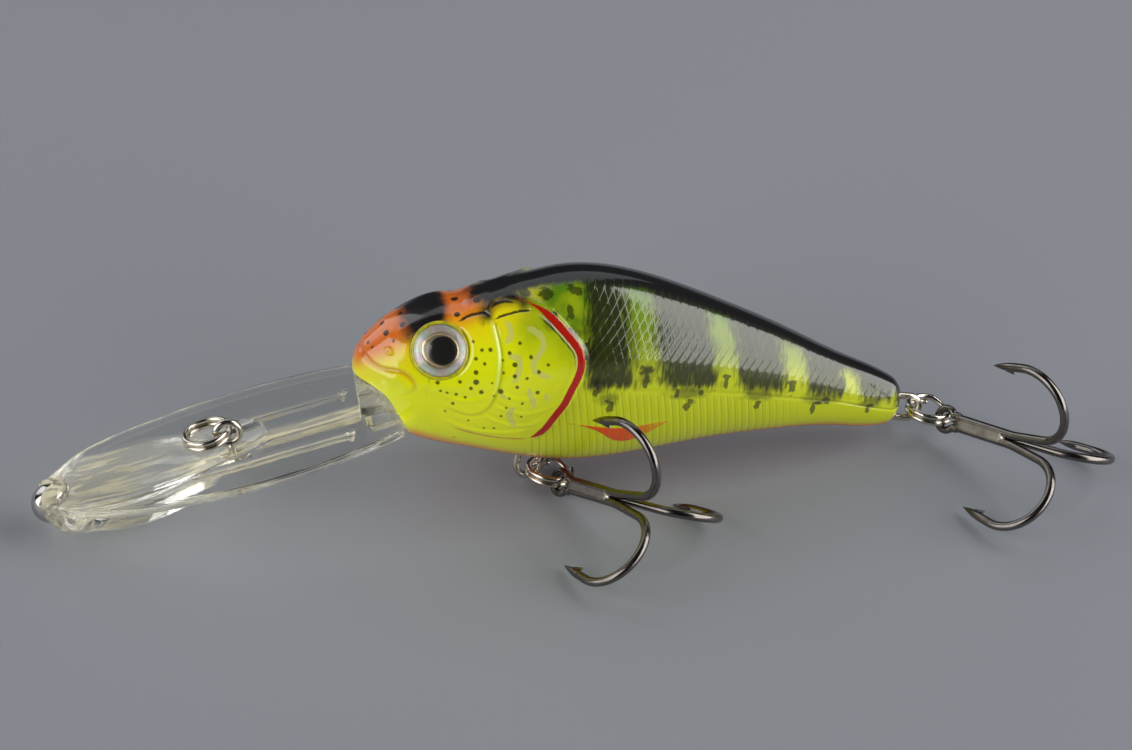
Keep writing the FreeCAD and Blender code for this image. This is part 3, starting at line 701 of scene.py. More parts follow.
def paint_masks(points):
    """Float masks that the paint's nodes colour by. Distances are in millimetres."""
    x, y, z = points[..., 0], points[..., 1], points[..., 2]
    top, bottom, _ = section_at(np.sqrt(np.clip(x, 0, None))).transpose(2, 0, 1)
    masks = {}

    lines = nearest_line(x, z, UPPER_GILL + ARCHES, 0.1)
    head = np.min([np.linalg.norm(points - spot[:3], axis=-1) - spot[3] for spot in HEAD_SPOTS], axis=0)
    masks["ink"] = np.minimum(lines, head)
    masks["dots"] = np.min([np.hypot(x - sx, z - sz) - r for sx, sz, r in DOTS], axis=0)
    masks["blotch"] = nearest_oval(x, z, BLOTCHES)
    masks["smudge"] = nearest_oval(x, z, SMUDGES)

    distance, side, along = near(GILL_EDGE, x, z, 7)
    inner = -side * distance
    width = 0.46 * tapered(along, curve_length(GILL_EDGE), 5.0, 2.5) * smoothstep(-1.0, 4.0, along) + 0.02
    masks["stripe"] = np.abs(inner + 0.25) - width
    # painted reflection on the gill plate's rim: a white highlight line on its crest with a dark band beside
    # it
    upper = smoothstep(2.2, 4.2, along) * smoothstep(12.0, 8.5, along)
    masks["gill_rim_highlight"] = upper * smoothstep(0.09, 0.0, np.abs(inner - 0.3) - 0.01)
    masks["gill_rim_dark_reflection"] = upper * smoothstep(0.1, 0.0, np.abs(inner - 0.52) - 0.05)
    distance, side, along = near(CHEEK_EDGE, x, z, 3)
    inner = -side * distance
    for name, aside, edge, half, length, end in (("pale", -0.12, 0.1, 0.12, 9.5, 4.0),
                                                 ("shade", 0.26, 0.16, 0.1, 14.0, 5.0)):
        line = smoothstep(edge, 0.0, np.abs(inner + aside) - half)
        masks[name] = line * tapered(along, length, 0.5, end) * (along < length)
    masks["squiggle"] = nearest_line(x, z, SQUIGGLES, SQUIGGLE_HALF_W)
    masks["fin"] = fin_depth(x, z)
    orange_line, _, along = near(LOWER_GILL, x, z, 2)
    masks["orange_line"] = smoothstep(0.16, 0.02, orange_line - 0.05) * tapered(along, 9.7, 2, 0.5)
    # painted shade: darker orange along the crease of the mouth
    mouth, _, along = near(MOUTH, x, z, 2)
    masks["mouth_crease_shade"] = bump(np.maximum(mouth - 0.05, 0), 0.28) * smoothstep(9.5, 6.0, along)

    width = np.interp(x, (8, 14, 20, 30, 45, 60, 70), (1.2, 2.2, 2.2, 2.9, 2.6, 2.2, 1.9))
    masks["back"] = smoothstep(1.2, -0.9, -y - width) * (z > (top + bottom) / 2) * smoothstep(9.8, 15.3, x)
    brow, _, _ = near(PAINTED_BROW, x, z, 5)
    masks["brow"] = smoothstep(2.6, 0.5, brow) * smoothstep(11.2, 8.8, x) * smoothstep(3.6, 6.4, x)
    # black paint and painted shade round the first gill arch, reaching further above it
    arch, side, _ = near(ARCHES[0], x, z, 3)
    masks["arch_paint_and_shade"] = smoothstep(np.where(side > 0, 1.7, 1.1), 0.1, arch)

    slanted = x + 0.25 * (z - 6)
    gaps = [smoothstep(2.3, -0.4, np.abs(slanted - centre) / half) for centre, half in BAR_GAPS]
    barred = smoothstep(FIRST_BAR - 1.3, FIRST_BAR + 1.7, x + 0.12 * (z - 6))
    foot = np.interp(x, (26, 31, 38, 48, 58, 68), (1.8, 2.7, 3.0, 2.7, 2.0, 1.0))
    masks["bars"] = barred * (1 - np.max(gaps, axis=0)) * smoothstep(-1.3, 1.1, z - foot)
    masks["veil"] = barred * smoothstep(1.0, 5.0, z - foot)
    masks["green"] = smoothstep(3.5, 11.5, z) * smoothstep(15, 22, x)
    orange_from = np.interp(x, (0, 1, 4, 8, 13, 18), (-0.6, 0.6, 3.4, 6.6, 8.6, 12))
    masks["orange"] = smoothstep(-1.1, 1.4, z - orange_from) * smoothstep(17.5, 13, x)
    masks["golden"] = smoothstep(13.5, 3, x - 1.6 * (z - 4))
    rim = np.interp(x, (0, 5, 9, 20, 40, 60, 70), (0.4, 1.4, 3.6, 2.9, 2.2, 1.9, 1.6))
    masks["belly"] = smoothstep(rim, 0.3 * rim, z - bottom) * smoothstep(4, 8, x)
    masks["scales"] = scaled(x, z, y)
    masks["ribs"] = ribbed(x, z)
    return {key: value.astype(np.float32) for key, value in masks.items()}


# ---- body skin -----------------------------------------------------------------------------------
def sink_eye(points):
    """Presses a flat socket with a raised lip into the flank, for the eye to sit in."""
    into_eye = EYE_PLACE.inverted()
    turn, shift = np.array(into_eye.to_3x3()), np.array(into_eye.translation)
    local = points @ turn.T + shift
    r = np.hypot(local[..., 0], local[..., 1])
    level = np.interp(r, (0, 3.15, 3.3, 3.6, 4.6), (-0.75, -0.75, 0.0, 0.02, -0.15))
    lift = level - local[..., 2]
    lift = np.where(r < 3.22, lift, np.clip(lift, -1.1, 0.6))
    lift = lift * np.where(lift < 0, smoothstep(4.0, 3.55, r), smoothstep(6.0, 3.3, r)) * (local[..., 2] > -3)
    return points + lift[..., None] * turn[2]


def body_skin(material):
    """Closed painted skin of the two shells: both flanks, the floor of the chin's cut and the tail's end."""
    smooth, opened = body_grid()
    masks = paint_masks(smooth)
    height = relief(smooth[..., 0], smooth[..., 2], smooth[..., 1])
    raised = sink_eye(smooth + outward(smooth, opened) * height[..., None])
    raised[:, 0, 1] = 0
    raised[~opened, -1, 1] = 0
    raised[0] = raised[0, 0]
    columns, rows = smooth.shape[:2]
    left = np.arange(columns * rows).reshape(columns, rows)
    left[0] = left[0, 0]
    right = left + columns * rows
    right[:, 0] = left[:, 0]
    right[~opened, -1] = left[~opened, -1]
    right[0] = left[0, 0]
    points = [raised.reshape(-1, 3), (raised * (1, -1, 1)).reshape(-1, 3)]
    count = 2 * columns * rows

    floor = np.repeat(left[:, -1:], CHIN_ROWS + 1, 1)
    floor[:, -1] = right[:, -1]
    for column in np.flatnonzero(opened):
        a, b = raised[column, -1], raised[column, -1] * (1, -1, 1)
        share = (np.arange(1, CHIN_ROWS) / CHIN_ROWS)[:, None]
        points.append(a + (b - a) * share)
        floor[column, 1:-1] = np.arange(count, count + CHIN_ROWS - 1)
        count += CHIN_ROWS - 1
    tail_middle = raised[-1].mean(0) * (1, 0, 1)
    points.append(tail_middle[None])
    faces = grid_faces(left) + [face[::-1] for face in grid_faces(right)] + grid_faces(floor)
    for flank in (left, right):
        for a, b in zip(flank[-1, :-1], flank[-1, 1:]):
            faces.append([int(a), int(b), count] if flank is right else [int(b), int(a), count])
    points = np.concatenate(points)
    used = np.zeros(len(points), bool)
    used[np.concatenate([np.array(face) for face in faces])] = True
    number = np.cumsum(used) - 1
    faces = [[int(number[v]) for v in face] for face in faces]
    spread = {}
    for key, value in masks.items():
        padding = np.full(len(points) - 2 * columns * rows, value[-1].mean() if key != "ink" else 1.0)
        spread[key] = np.concatenate([value.ravel(), value.ravel(), padding.astype(np.float32)])[used]
    piece("body_skin", (points[used], faces), LURE, material, sharp=SKIN_CREASE,
          masks=spread, replaces=("shell_left", "shell_right"))


# ---- body paint ----------------------------------------------------------------------------------
CHARTREUSE = linear(242, 250, 14)
GOLD = linear(246, 216, 8)
LEAF_GREEN = linear(88, 132, 16)
SNOUT_ORANGE = linear(230, 104, 34)
BELLY_ORANGE = linear(244, 112, 30)
BLACK = linear(24, 24, 25)
BAR_BLACK = linear(30, 34, 14)
RED = linear(178, 26, 10)
PALE_TAN = linear(205, 205, 120)


def paint_material():
    """Airbrushed fish colours with some painted shade and reflections, over moulded relief, under a clear
    coat.
    """
    s = Shader("body_paint", own_axes=True)
    cloudy = s.noise(0.25, 2)
    grain = s.noise(7, 4)
    x, _, z = s.axes()
    squiggle = s.torn("squiggle", s.noise(2.5), 0, 1, 0.12)
    fin = s.times(s.ramp(s.mask("fin"), -0.06, 0.06), s.ramp(x, 33.5, 39.0, 1.0, 0.45))
    base = s.coats(
        CHARTREUSE,
        (s.ramp(cloudy, 0.3, 0.7, 0, 0.35), linear(228, 238, 12)),
        (s.ramp(x, 15, 30, 0, 0.8), linear(196, 208, 14)),
        (s.mask("golden"), GOLD),
        (s.times(s.mask("green"), s.ramp(cloudy, 0.35, 0.65, 0.65, 1.0)), LEAF_GREEN),
        (s.times(s.mask("veil"), 0.52), linear(96, 124, 16)),
        (s.times(s.mask("belly"), 0.92), BELLY_ORANGE),
        (s.times(s.mask("orange"), s.ramp(grain, 0.2, 0.8, 0.85, 1.0)), SNOUT_ORANGE),
        # painted shade in the mouth's crease
        (s.times(s.mask("mouth_crease_shade"), 0.5), linear(205, 95, 20)),
        (s.mask("orange_line"), linear(232, 140, 20)),
        (s.ramp(squiggle, 0.05, -0.05, 0, 0.62), PALE_TAN),
        (fin, linear(226, 78, 8)))

    # black back and bars, with feathered edges that follow the scales
    feather = s.ramp(s.noise(0.9, 3), 0.25, 0.75, -0.12, 0.12)
    combed = s.ramp(s.noise(1.0, 2, s.place((2.6, 1, 0.5), (0, 0.45, 0))), 0.3, 0.7, -0.2, 0.2)
    bars = s.math("POWER", s.ramp(s.feathered("bars", combed, 0.3), 0.08, 0.95), 1.25)
    base = s.coats(
        base,
        (s.times(bars, 0.95), BAR_BLACK),
        (s.ramp(s.torn("smudge", s.noise(0.8, 3), 0.25, 0.75, 0.3), 1.2, 0.3, 0, 0.6), BAR_BLACK),
        # black paint and painted shade round the gill arches
        (s.times(s.mask("arch_paint_and_shade"), s.ramp(s.noise(0.9, 2), 0.2, 0.7, 0.7, 1.0)), BLACK),
        (s.ramp(s.feathered("back", feather, 0.3), 0.04, 0.9), BLACK),
        (s.ramp(s.feathered("brow", feather, 0.25), 0.02, 0.95), BLACK),
        (s.ramp(s.torn("blotch", s.noise(1.3, 2), 0.2, 0.8, 0.5), 1.15, 0.75, 0, 0.76), BAR_BLACK),
        (s.ramp(s.torn("dots", s.noise(5, 2), 0, 1, 0.06), 0.11, -0.08, 0, 0.9), linear(52, 58, 10)),
        (s.ramp(s.torn("ink", s.noise(4, 2), 0, 1, 0.05), 0.06, -0.05, 0, 0.94), BLACK),
        (s.times(s.mask("shade"), 0.35), linear(110, 125, 10)),
        (s.times(s.mask("pale"), 0.4), linear(190, 235, 150)),
        # painted reflection on the gill plate's rim: dark band, then white highlight
        (s.times(s.mask("gill_rim_dark_reflection"), 0.9), BLACK),
        (s.times(s.mask("gill_rim_highlight"), 0.85), linear(225, 225, 215)),
        (s.ramp(s.torn("stripe", s.noise(3, 2), 0, 1, 0.04), 0.04, -0.04), RED))

    # painted shade in the grooves of the ribs and along the scales' edges
    rib = s.math("COSINE", s.times(s.plus(x, s.times(z, RIB_LEAN)), 2 * pi / BELLY_RIB))
    rib_groove = s.times(s.ramp(rib, -0.72, -0.98), s.mask("ribs"))
    edges = []
    for slope, combine in ((SCALE_RISE, s.minus), (SCALE_FALL, s.plus)):
        leaning = combine(s.times(x, sin(slope)), s.times(z, cos(slope)))
        phase = s.math("FRACT", s.math("DIVIDE", leaning, SCALE_PITCH))
        edges.append(s.ramp(s.math("ABSOLUTE", s.minus(phase, 0.9)), 0.12, 0.0))
    scale_edge = s.times(s.math("MAXIMUM", edges[0], s.times(edges[1], 0.6)), s.mask("scales"))
    base = s.coats(
        base,
        (s.times(rib_groove, 0.36), linear(120, 135, 10)),
        (s.times(scale_edge, 0.15), linear(90, 110, 10)),
        (s.ramp(s.dust(0.9), 0.05, 0.03, 0, 0.5), linear(70, 80, 10)))

    height = s.minus(s.minus(s.times(grain, 0.06), s.times(rib_groove, 0.3)), s.times(scale_edge, 0.15))
    normal = s.bump(height, 0.55, 0.12)
    return s.finish({"Base Color": base, "Roughness": s.ramp(grain, 0.2, 0.8, 0.28, 0.4), "Normal": normal,
                     "Coat Weight": 1.0, "Coat Roughness": 0.045, "Coat IOR": 1.6, "Coat Normal": normal,
                     "Specular IOR Level": 0.14})


def rim_material():
    """Yellow paint on the lip round each eye, worn thin on its crest."""
    s = Shader("eye_rim_paint", own_axes=True)
    worn = s.ramp(s.noise(1.4, 3), 0.35, 0.7)
    base = s.mix(worn, linear(205, 195, 20), linear(150, 150, 25))
    return s.finish({"Base Color": base, "Roughness": s.ramp(worn, 0, 1, 0.2, 0.35),
                     "Normal": s.bump(s.noise(6), 0.2, 0.05), "Coat Weight": 1.0, "Coat Roughness": 0.05})


# ---- clear bill ----------------------------------------------------------------------------------
# (distance from the tip, half width)
BILL_OUTLINE = np.array([
    (-1.1, 0.0), (-0.95, 1.9), (-0.4, 2.9), (1.2, 4.5), (4.2, 7.3), (7.5, 8.9), (14.0, 10.5), (21.0, 11.5),
    (27.0, 11.8), (34.0, 11.4), (40.0, 10.3), (46.0, 8.4)])
BILL_FRONT = -1.1
BILL_ROOT = 44.4
BILL_MIDDLE = 22.0
RIM_LEVEL = -0.35
UNDER_SCALE = 0.86
PLATE_T = 1.5
# (distance from the tip, half width of the hull, its depth)
HULL = np.array([
    (-1.1, 2.9, 3.7), (2.0, 4.9, 5.4), (5.0, 6.4, 6.1), (8.5, 7.2, 6.6), (13.0, 7.0, 6.6), (18.0, 5.5, 5.9),
    (22.0, 3.9, 4.6), (26.0, 2.6, 3.0), (30.0, 1.5, 1.2), (46.0, 1.0, 0.6)])
BAR_END = 39.8
BAR_HALF_W = 1.35
BAR_DEPTH = 3.3
RIB_Y = 5.0
RIB_END = 38.0
DISH_R = 4.6
DISH_DEPTH = 0.95
BALL_AT = (0.4, 0.0, -1.6)
BALL_R = 2.55
BALL_WALL = 0.5
# (distance from the tip, height) round the block between the plate and the chin
BLOCK = [(39.8, -0.35), (40.3, 4.4), (41.2, 4.45), (42.7, 3.4), (43.6, 2.0), (44.2, 0.0), (44.5, -1.2)]
BLOCK_LOW_HALF = 3.25
BLOCK_HIGH_HALF = 2.7
COLLAR_STEP = np.array((-1.1, -0.7))
BILL_STEP = 0.2
BILL_ROWS = 61
CLEAR_CREASE = 40
COLLAR_SPAN = (0.12, 8.25)
COLLAR_HAZE = 0.25
BLOCK_HAZE = 0.02
STRAIGHT_HALF_W = 6.2
STRAIGHT_SHARE = 0.62
TOP_SCALE = 0.975

half_w_at = spline(np.sqrt(BILL_OUTLINE[:, 0] - BILL_FRONT), BILL_OUTLINE[:, 1])
hull_at = spline(HULL[:, 0], HULL[:, 1:])


def bill_half_w(x):
    return half_w_at(np.sqrt(np.maximum(x - BILL_FRONT, 0)))


def bill_columns():
    """Distances from the tip, close together where the outline turns."""
    tip = np.arange(0, 2.0, 0.045) ** 2 + BILL_FRONT
    return np.concatenate([tip, np.arange(tip[-1] + BILL_STEP, BILL_ROOT, BILL_STEP), [BILL_ROOT]])


def bill_top(x, y):
    """Height of the plate's upper face: a dish round the eyelet and a boss round the ball."""
    dish_ball = (DISH_R ** 2 + DISH_DEPTH ** 2) / (2 * DISH_DEPTH)
    r = np.hypot(x - EYELET_ON_BILL.x, y)
    bowl = dish_ball - DISH_DEPTH - np.sqrt(np.maximum(dish_ball ** 2 - np.minimum(r, dish_ball) ** 2, 0))
    height = np.minimum(bowl, 0) * (r < DISH_R)
    off = np.hypot(x - BALL_AT[0], y)
    cap = BALL_AT[2] + np.sqrt(np.maximum((BALL_R + BALL_WALL) ** 2 - off ** 2, 0))
    ball = BALL_AT[2] + np.sqrt(np.maximum(BALL_R ** 2 - off ** 2, 0)) - 0.3
    height = height + np.log1p(np.exp(5 * np.clip(cap - 0.1, -4, 4))) / 5 * (off < 5)
    lip = 1.3 - 2.0 * (np.abs(y) / 1.81) ** 1.5
    wrapped = ball + (height - ball) * smoothstep(lip - 0.07, lip + 0.07, x)
    height = np.where(off < BALL_R - 0.02, wrapped, height)
    return height + 0.012 * np.sin(x * 0.9 + y * 0.6) * smoothstep(3, 8, x)


def bill_under(x, y):
    """Height of the lower face: the hull, its middle bar, the two side ribs with their knobs."""
    half_w, depth = hull_at(x).transpose(2, 0, 1)
    across_hull = np.clip(np.abs(y) / np.maximum(half_w, 0.3), 0, 1)
    hull = depth * (1 - across_hull ** 2.2) ** 0.5
    bar = BAR_DEPTH * np.sqrt(np.clip(1 - (y / BAR_HALF_W) ** 2, 0, 1)) * smoothstep(12, 20, x)
    bar = bar * smoothstep(BAR_END + 0.25, BAR_END - 0.1, x)
    foot = 2.7 * smoothstep(39.5, 41.0, x) * smoothstep(5.2, 4.4, np.abs(y))
    rib_gap = np.abs(np.abs(y) - RIB_Y)
    rib = (PLATE_T + 0.95 * smoothstep(13, 19, x)) * bump(rib_gap, 0.62)
    rib = rib * smoothstep(RIB_END + 0.4, RIB_END, x)
    knob = (PLATE_T + 1.5) * bump(np.hypot(rib_gap, x - RIB_END), 0.8)
    plate = np.full(x.shape, PLATE_T)
    stacked = np.stack([hull, bar, rib, knob, foot, plate])
    sharpness = 7.0
    return -np.log(np.exp(sharpness * stacked).sum(0) - (len(stacked) - 1)) / sharpness


def bill_rows(x, wide):
    """Distances across the bill at each column. Inner rows run straight, outer rows follow the outline."""
    share = np.linspace(-1, 1, 2 * BILL_ROWS + 1)[None, :]
    inner = np.minimum(STRAIGHT_HALF_W, STRAIGHT_SHARE * wide)[:, None]
    size = np.abs(share)
    y = np.where(size < STRAIGHT_SHARE, size / STRAIGHT_SHARE * inner,
                 inner + (size - STRAIGHT_SHARE) / (1 - STRAIGHT_SHARE) * (wide[:, None] - inner))
    return np.sign(share) * y


def bill_haze(points):
    """How milky the plastic looks: most at the rim, the ball's wall, the keel and the ribs."""
    x, y, z = points.T
    deep = smoothstep(-1.6, -2.6, z)
    rim = smoothstep(0.965, 1.0, np.abs(y) / np.maximum(bill_half_w(x), 0.1))
    rim = np.maximum(rim * np.interp(x, (5, 14, 24), (1, 0.8, 0.4)), smoothstep(3.5, -0.5, x))
    keel = deep * smoothstep(2.2, 1.2, np.abs(y)) * smoothstep(10, 20, x)
    ribs = deep * bump(np.abs(y) - RIB_Y, 1.0) * smoothstep(14, 20, x)
    hull = deep * smoothstep(24, 6, x) * 0.6
    cap = smoothstep(0.1, 0.6, z)
    root = smoothstep(40, 43, x) * smoothstep(5.5, 4.0, np.abs(y))
    return np.max([rim * 0.8, keel, ribs * 0.8, hull, cap, root * 0.2], axis=0)


def bill_shape():
    """Closed clear moulding: upper face, rounded rim and lower face over one outline."""
    x = bill_columns()
    wide = bill_half_w(x)
    wide[0] = 0
    y = bill_rows(x, wide)
    columns, rows = y.shape
    flat_x = np.broadcast_to(x[:, None], y.shape)

    def drawn_in(px, scale):
        """Distance from the tip on a smaller outline, for places ahead of the bill's middle."""
        return np.where(px > BILL_MIDDLE, px, BILL_MIDDLE + (px - BILL_MIDDLE) * scale)

    sheets = []
    for scale, height_at in ((TOP_SCALE, bill_top), (UNDER_SCALE, bill_under)):
        sheet_x, sheet_y = drawn_in(flat_x, scale), y * scale
        sheets.append(np.stack([sheet_x, sheet_y, height_at(sheet_x, sheet_y)], -1))
    top_index = np.arange(columns * rows).reshape(columns, rows)
    top_index[0] = top_index[0, 0]
    low_index = top_index + columns * rows

    edge = np.array([(c, 0) for c in range(columns - 1, 0, -1)] + [(0, 0)]
                    + [(c, rows - 1) for c in range(1, columns)]).T
    edge_x, edge_y, end = flat_x[tuple(edge)], y[tuple(edge)], sheets[1][tuple(edge)][:, 2]
    rings = [top_index[tuple(edge)]]
    points = [sheet.reshape(-1, 3) for sheet in sheets]
    count = 2 * columns * rows
    spots = [(0.99, np.full(len(end), -0.1)), (0.998, np.full(len(end), -0.22))]
    for swing in np.linspace(0.05, 0.95, 13) * pi / 2:
        spots.append((UNDER_SCALE + (1 - UNDER_SCALE) * cos(swing),
                      RIM_LEVEL + (end - RIM_LEVEL) * sin(swing)))
    for scale, level in spots:
        points.append(np.stack([drawn_in(edge_x, scale), edge_y * scale, level], -1))
        rings.append(np.arange(count, count + len(end)))
        count += len(end)
    rings.append(low_index[tuple(edge)])
    faces = [face[::-1] for face in grid_faces(top_index)]
    for index in (low_index, np.array(rings), np.array([top_index[-1], low_index[-1]])):
        faces += grid_faces(index)
    faces += [[int(ring[0]) for ring in rings], [int(ring[-1]) for ring in rings][::-1]]
    return np.concatenate(points), faces


def tidy(shape):
    """The same shape without vertices that no face uses, and with doubled ones merged."""
    points, faces = shape
    mesh = bpy.data.meshes.new("scratch")
    mesh.from_pydata(np.asarray(points).tolist(), [], faces)
    work = bmesh.new()
    work.from_mesh(mesh)
    bmesh.ops.remove_doubles(work, verts=work.verts, dist=1e-4)
    bmesh.ops.dissolve_degenerate(work, edges=work.edges, dist=1e-5)
    loose = [v for v in work.verts if not v.link_faces]
    bmesh.ops.delete(work, geom=loose, context="VERTS")
    bmesh.ops.recalc_face_normals(work, faces=work.faces)
    work.verts.index_update()
    out = np.array([v.co for v in work.verts]), [[v.index for v in face.verts] for face in work.faces]
    work.free()
    bpy.data.meshes.remove(mesh)
    return out


def head_half_width(x, z):
    """Half the head's width at a spot beside it, nothing outside its outline."""
    if x <= 0:
        return 0.0
    middle, half_h, half_w = (float(v[0]) for v in sections(np.array([x])))
    ratio = abs(z - middle) / max(half_h, 1e-6)
    return half_w * (1 - ratio ** SECTION_POWER) ** (1 / SECTION_POWER) if ratio < 1 else 0.0


def collar_shape():
    """Clear band of the head's own shape under the chin's cut."""
    rings = []
    for x in np.linspace(*COLLAR_SPAN, 44):
        spot = np.array((x, float(chin_height(x))))
        reach = 1.0
        while reach > 0.05 and head_half_width(*(spot + COLLAR_STEP * reach)) < 0.15:
            reach -= 0.05
        side = []
        for f in np.linspace(0, 1, 6):
            px, pz = spot + COLLAR_STEP * reach * f
            half = max(head_half_width(px, pz) - 0.06 - 0.5 * (f > 0.99), 0.05)
            side.append((px, -half, pz))
        rings.append(side + [(px, -y, pz) for px, y, pz in side[::-1]])
    return tube(rings)


def block_shape():
    """Clear wedge that stands on the plate's root and meets the chin, with rounded side edges."""
    outline = np.array(BLOCK)
    middle = outline.mean(0)
    half = np.interp(outline[:, 1], (outline[0, 1], outline[1, 1]), (BLOCK_LOW_HALF, BLOCK_HIGH_HALF))
    rings = []
    for share, size in ((-1, 0.93), (-0.975, 0.97), (-0.93, 1), (0.93, 1), (0.975, 0.97), (1, 0.93)):
        x, z = (middle + (outline - middle) * size).T
        rings.append(np.stack([x, half * share, z], -1))
    return tube(rings)


MILKY = linear(238, 232, 205)


def clear_material(name, tint, deep_tint, haze=0.0):
    """Clear plastic that lets lamps through, with faint flow streaks, dust and a few fine scratches."""
    s = Shader(name, own_axes=True)
    marks = 1.0 if haze else 0.0
    flow = s.noise(0.55, 3, s.place((0.25, 1.4, 1.4)))
    streak = s.ramp(s.noise(1.0, 3, s.place((0.12, 1.5, 1.0), (0, 0, 0.12))), 0.42, 0.62)
    milky = s.times(s.mask("haze"), s.ramp(streak, 0, 1, 0.35 * haze, haze))
    colour = s.coats(tint, (s.ramp(flow, 0.45, 0.72), deep_tint), (s.ramp(milky, 0, 0.4), MILKY))
    scratch = s.ramp(s.noise(1.0, 2, s.place((0.3, 6, 6), (0, 0, 0.5))), 0.66, 0.7)
    rough = s.plus(s.ramp(s.dust(0.42), 0.035, 0.02, 0.0, 0.6 * marks), s.times(scratch, 0.03 * marks))
    clear = s.minus(1.0, milky)
    glass = s.add("BsdfPrincipled", {"Base Color": colour, "Roughness": rough, "IOR": 1.52,
                                     "Transmission Weight": clear,
                                     "Normal": s.bump(flow, 0.02 + 0.1 * marks, 0.25)})
    through = s.add("BsdfTransparent", {"Color": s.mix(0.4, colour, (1.0, 1.0, 1.0))})
    shadow = s.times(s.add("LightPath").outputs["Is Shadow Ray"], clear)
    both = s.add("MixShader", {0: shadow, 1: glass.outputs[0], 2: through.outputs[0]})
    s.tree.links.new(both.outputs[0], s.out.inputs["Surface"])
    return s.material


# ---- metals --------------------------------------------------------------------------------------
def metal_material(name, colour, worn, roughness, strength):
    """Plated wire: fine draw marks, slightly uneven polish, and duller patches."""
    s = Shader(name)
    fine = s.noise(9, 4)
    patch = s.noise(0.8, 3)
    base = s.mix(s.ramp(patch, 0.35, 0.75, 0, 0.5), linear(*colour), linear(*worn))
    rough = s.plus(s.ramp(fine, 0.2, 0.8, roughness * 0.7, roughness * 1.4),
                   s.ramp(patch, 0.4, 0.8, 0.0, roughness * 0.6))
    return s.finish({"Base Color": base, "Metallic": 1.0, "Roughness": rough,
                     "Normal": s.bump(fine, strength, 0.03)})


# ---- split rings ---------------------------------------------------------------------------------
RING_WIRE_R = 0.36
RING_R = 2.8
RING_GAP = 0.03
RING_END_GAP = 6.0
RING_CROSSING = 50.0
RING_CREASE = 50


def ring_shape(start):
    """Two close turns of wire about Z with one eased step between them and cut ends."""
    end = 720 - RING_CROSSING - 4 * RING_END_GAP
    step_from = 360 - RING_CROSSING - RING_END_GAP
    degrees = np.linspace(0, end, 260)
    rise = (RING_WIRE_R * 2 + RING_GAP) * (smoothstep(0, 1, (degrees - step_from) / RING_CROSSING) - 0.5)
    angle = np.radians(degrees + start)
    path = np.stack([RING_R * np.cos(angle), RING_R * np.sin(angle), rise], -1)
    radius = np.full(len(path), RING_WIRE_R)
    radius[[0, -1]] *= 0.82
    return wire(path, radius, 20, flat_way=(0, 0, 1))


def split_ring(name, start, material, axes=LURE):
    """Ring laid square to some axes, at the middle of the CAD ring of that name."""
    centre = axes.inverted() @ LURE @ node_centre(name)
    piece(name + "_wire", ring_shape(start), axes @ Matrix.Translation(centre), material, name,
          sharp=RING_CREASE, replaces=(name,))


# ---- treble hooks --------------------------------------------------------------------------------
HOOK_WIRE_R = 0.57
CLUSTER_R = 0.67
HOOK_EYE_R = 1.38
HOOK_EYE_WIRE_R = 0.46
DOUBLE_START = 1.9
SINGLE_START = 2.3
SHANK_END = 10.0
FLARE = radians(8.3)
FLARE_R = 12.0
BEND_X = 15.1
BEND_R = 5.0
POINT_DIP = radians(10)
POINT_RUN = 4.9
TAPER = 3.4
BARB_AT = 2.4
# (distance towards the point, height, half width)
BARB = ((1.25, 0.20, 0.10), (0.7, 0.42, 0.2), (0.1, 0.68, 0.23), (-0.5, 0.93, 0.16), (-0.85, 1.04, 0.04))
BARB_T = 0.34
WEB_START = 0.9
WEB_HALF_W = 0.62
# (radius, height) of the braze bead, and how it is drawn out along the shank
BEAD = [(0, 0.3), (0.14, 0.28), (0.3, 0.16), (0.36, 0), (0.3, -0.16), (0.14, -0.28), (0, -0.3)]
BEAD_STRETCH = (1.5, 0.9, 1.0)
BEAD_BACK = 0.5
BEAD_OUT = 0.62
ARMS_APART = 120
HOOK_CREASE = 42


def hook_path(start_x):
    """Centreline of one hook in the XZ plane, evenly enough spaced to sweep."""
    z0 = CLUSTER_R
    shank = [(x, z0) for x in np.linspace(start_x, SHANK_END, 14)]
    flare = [(SHANK_END + FLARE_R * sin(a), z0 + FLARE_R * (1 - cos(a)))
             for a in np.linspace(0, FLARE, 7)[1:]]
    bend_start_x = BEND_X + BEND_R * sin(FLARE)
    bend_start_z = flare[-1][1] + (bend_start_x - flare[-1][0]) * tan(FLARE)
    centre_z = bend_start_z + BEND_R * cos(FLARE)
    heading = np.linspace(FLARE, pi + POINT_DIP, 64)
    bend = [(BEND_X + BEND_R * sin(a), centre_z - BEND_R * cos(a)) for a in heading]
    way = (-cos(POINT_DIP), -sin(POINT_DIP))
    point = [(bend[-1][0] + way[0] * t, bend[-1][1] + way[1] * t)
             for t in np.linspace(0, POINT_RUN, 24)[1:]]
    return np.array([(x, 0, z) for x, z in shank + flare + bend + point])


def hook_arm(start_x):
    """One hook: round wire that tapers to a needle point, with a cut-up barb on the inner side."""
    path = hook_path(start_x)
    gaps = np.linalg.norm(np.diff(path, axis=0), axis=1)
    left = np.concatenate([np.cumsum(gaps[::-1])[::-1], [0]])
    share = np.clip(left / TAPER, 0, 1)
    radius = HOOK_WIRE_R * np.maximum(np.sin(share * pi / 2) ** 0.85, 0.035)
    radius[0] *= 0.8
    way = path[-1] - path[-2]
    way = way / np.linalg.norm(way)
    inner = np.array((way[2], 0, -way[0]))
    inner = inner if inner[2] < 0 else -inner
    root = path[-1] - way * BARB_AT
    barb = barb_shape(root, way, inner)
    return joined([wire(path, radius, 24, flat_way=(0, 1, 0)), barb])


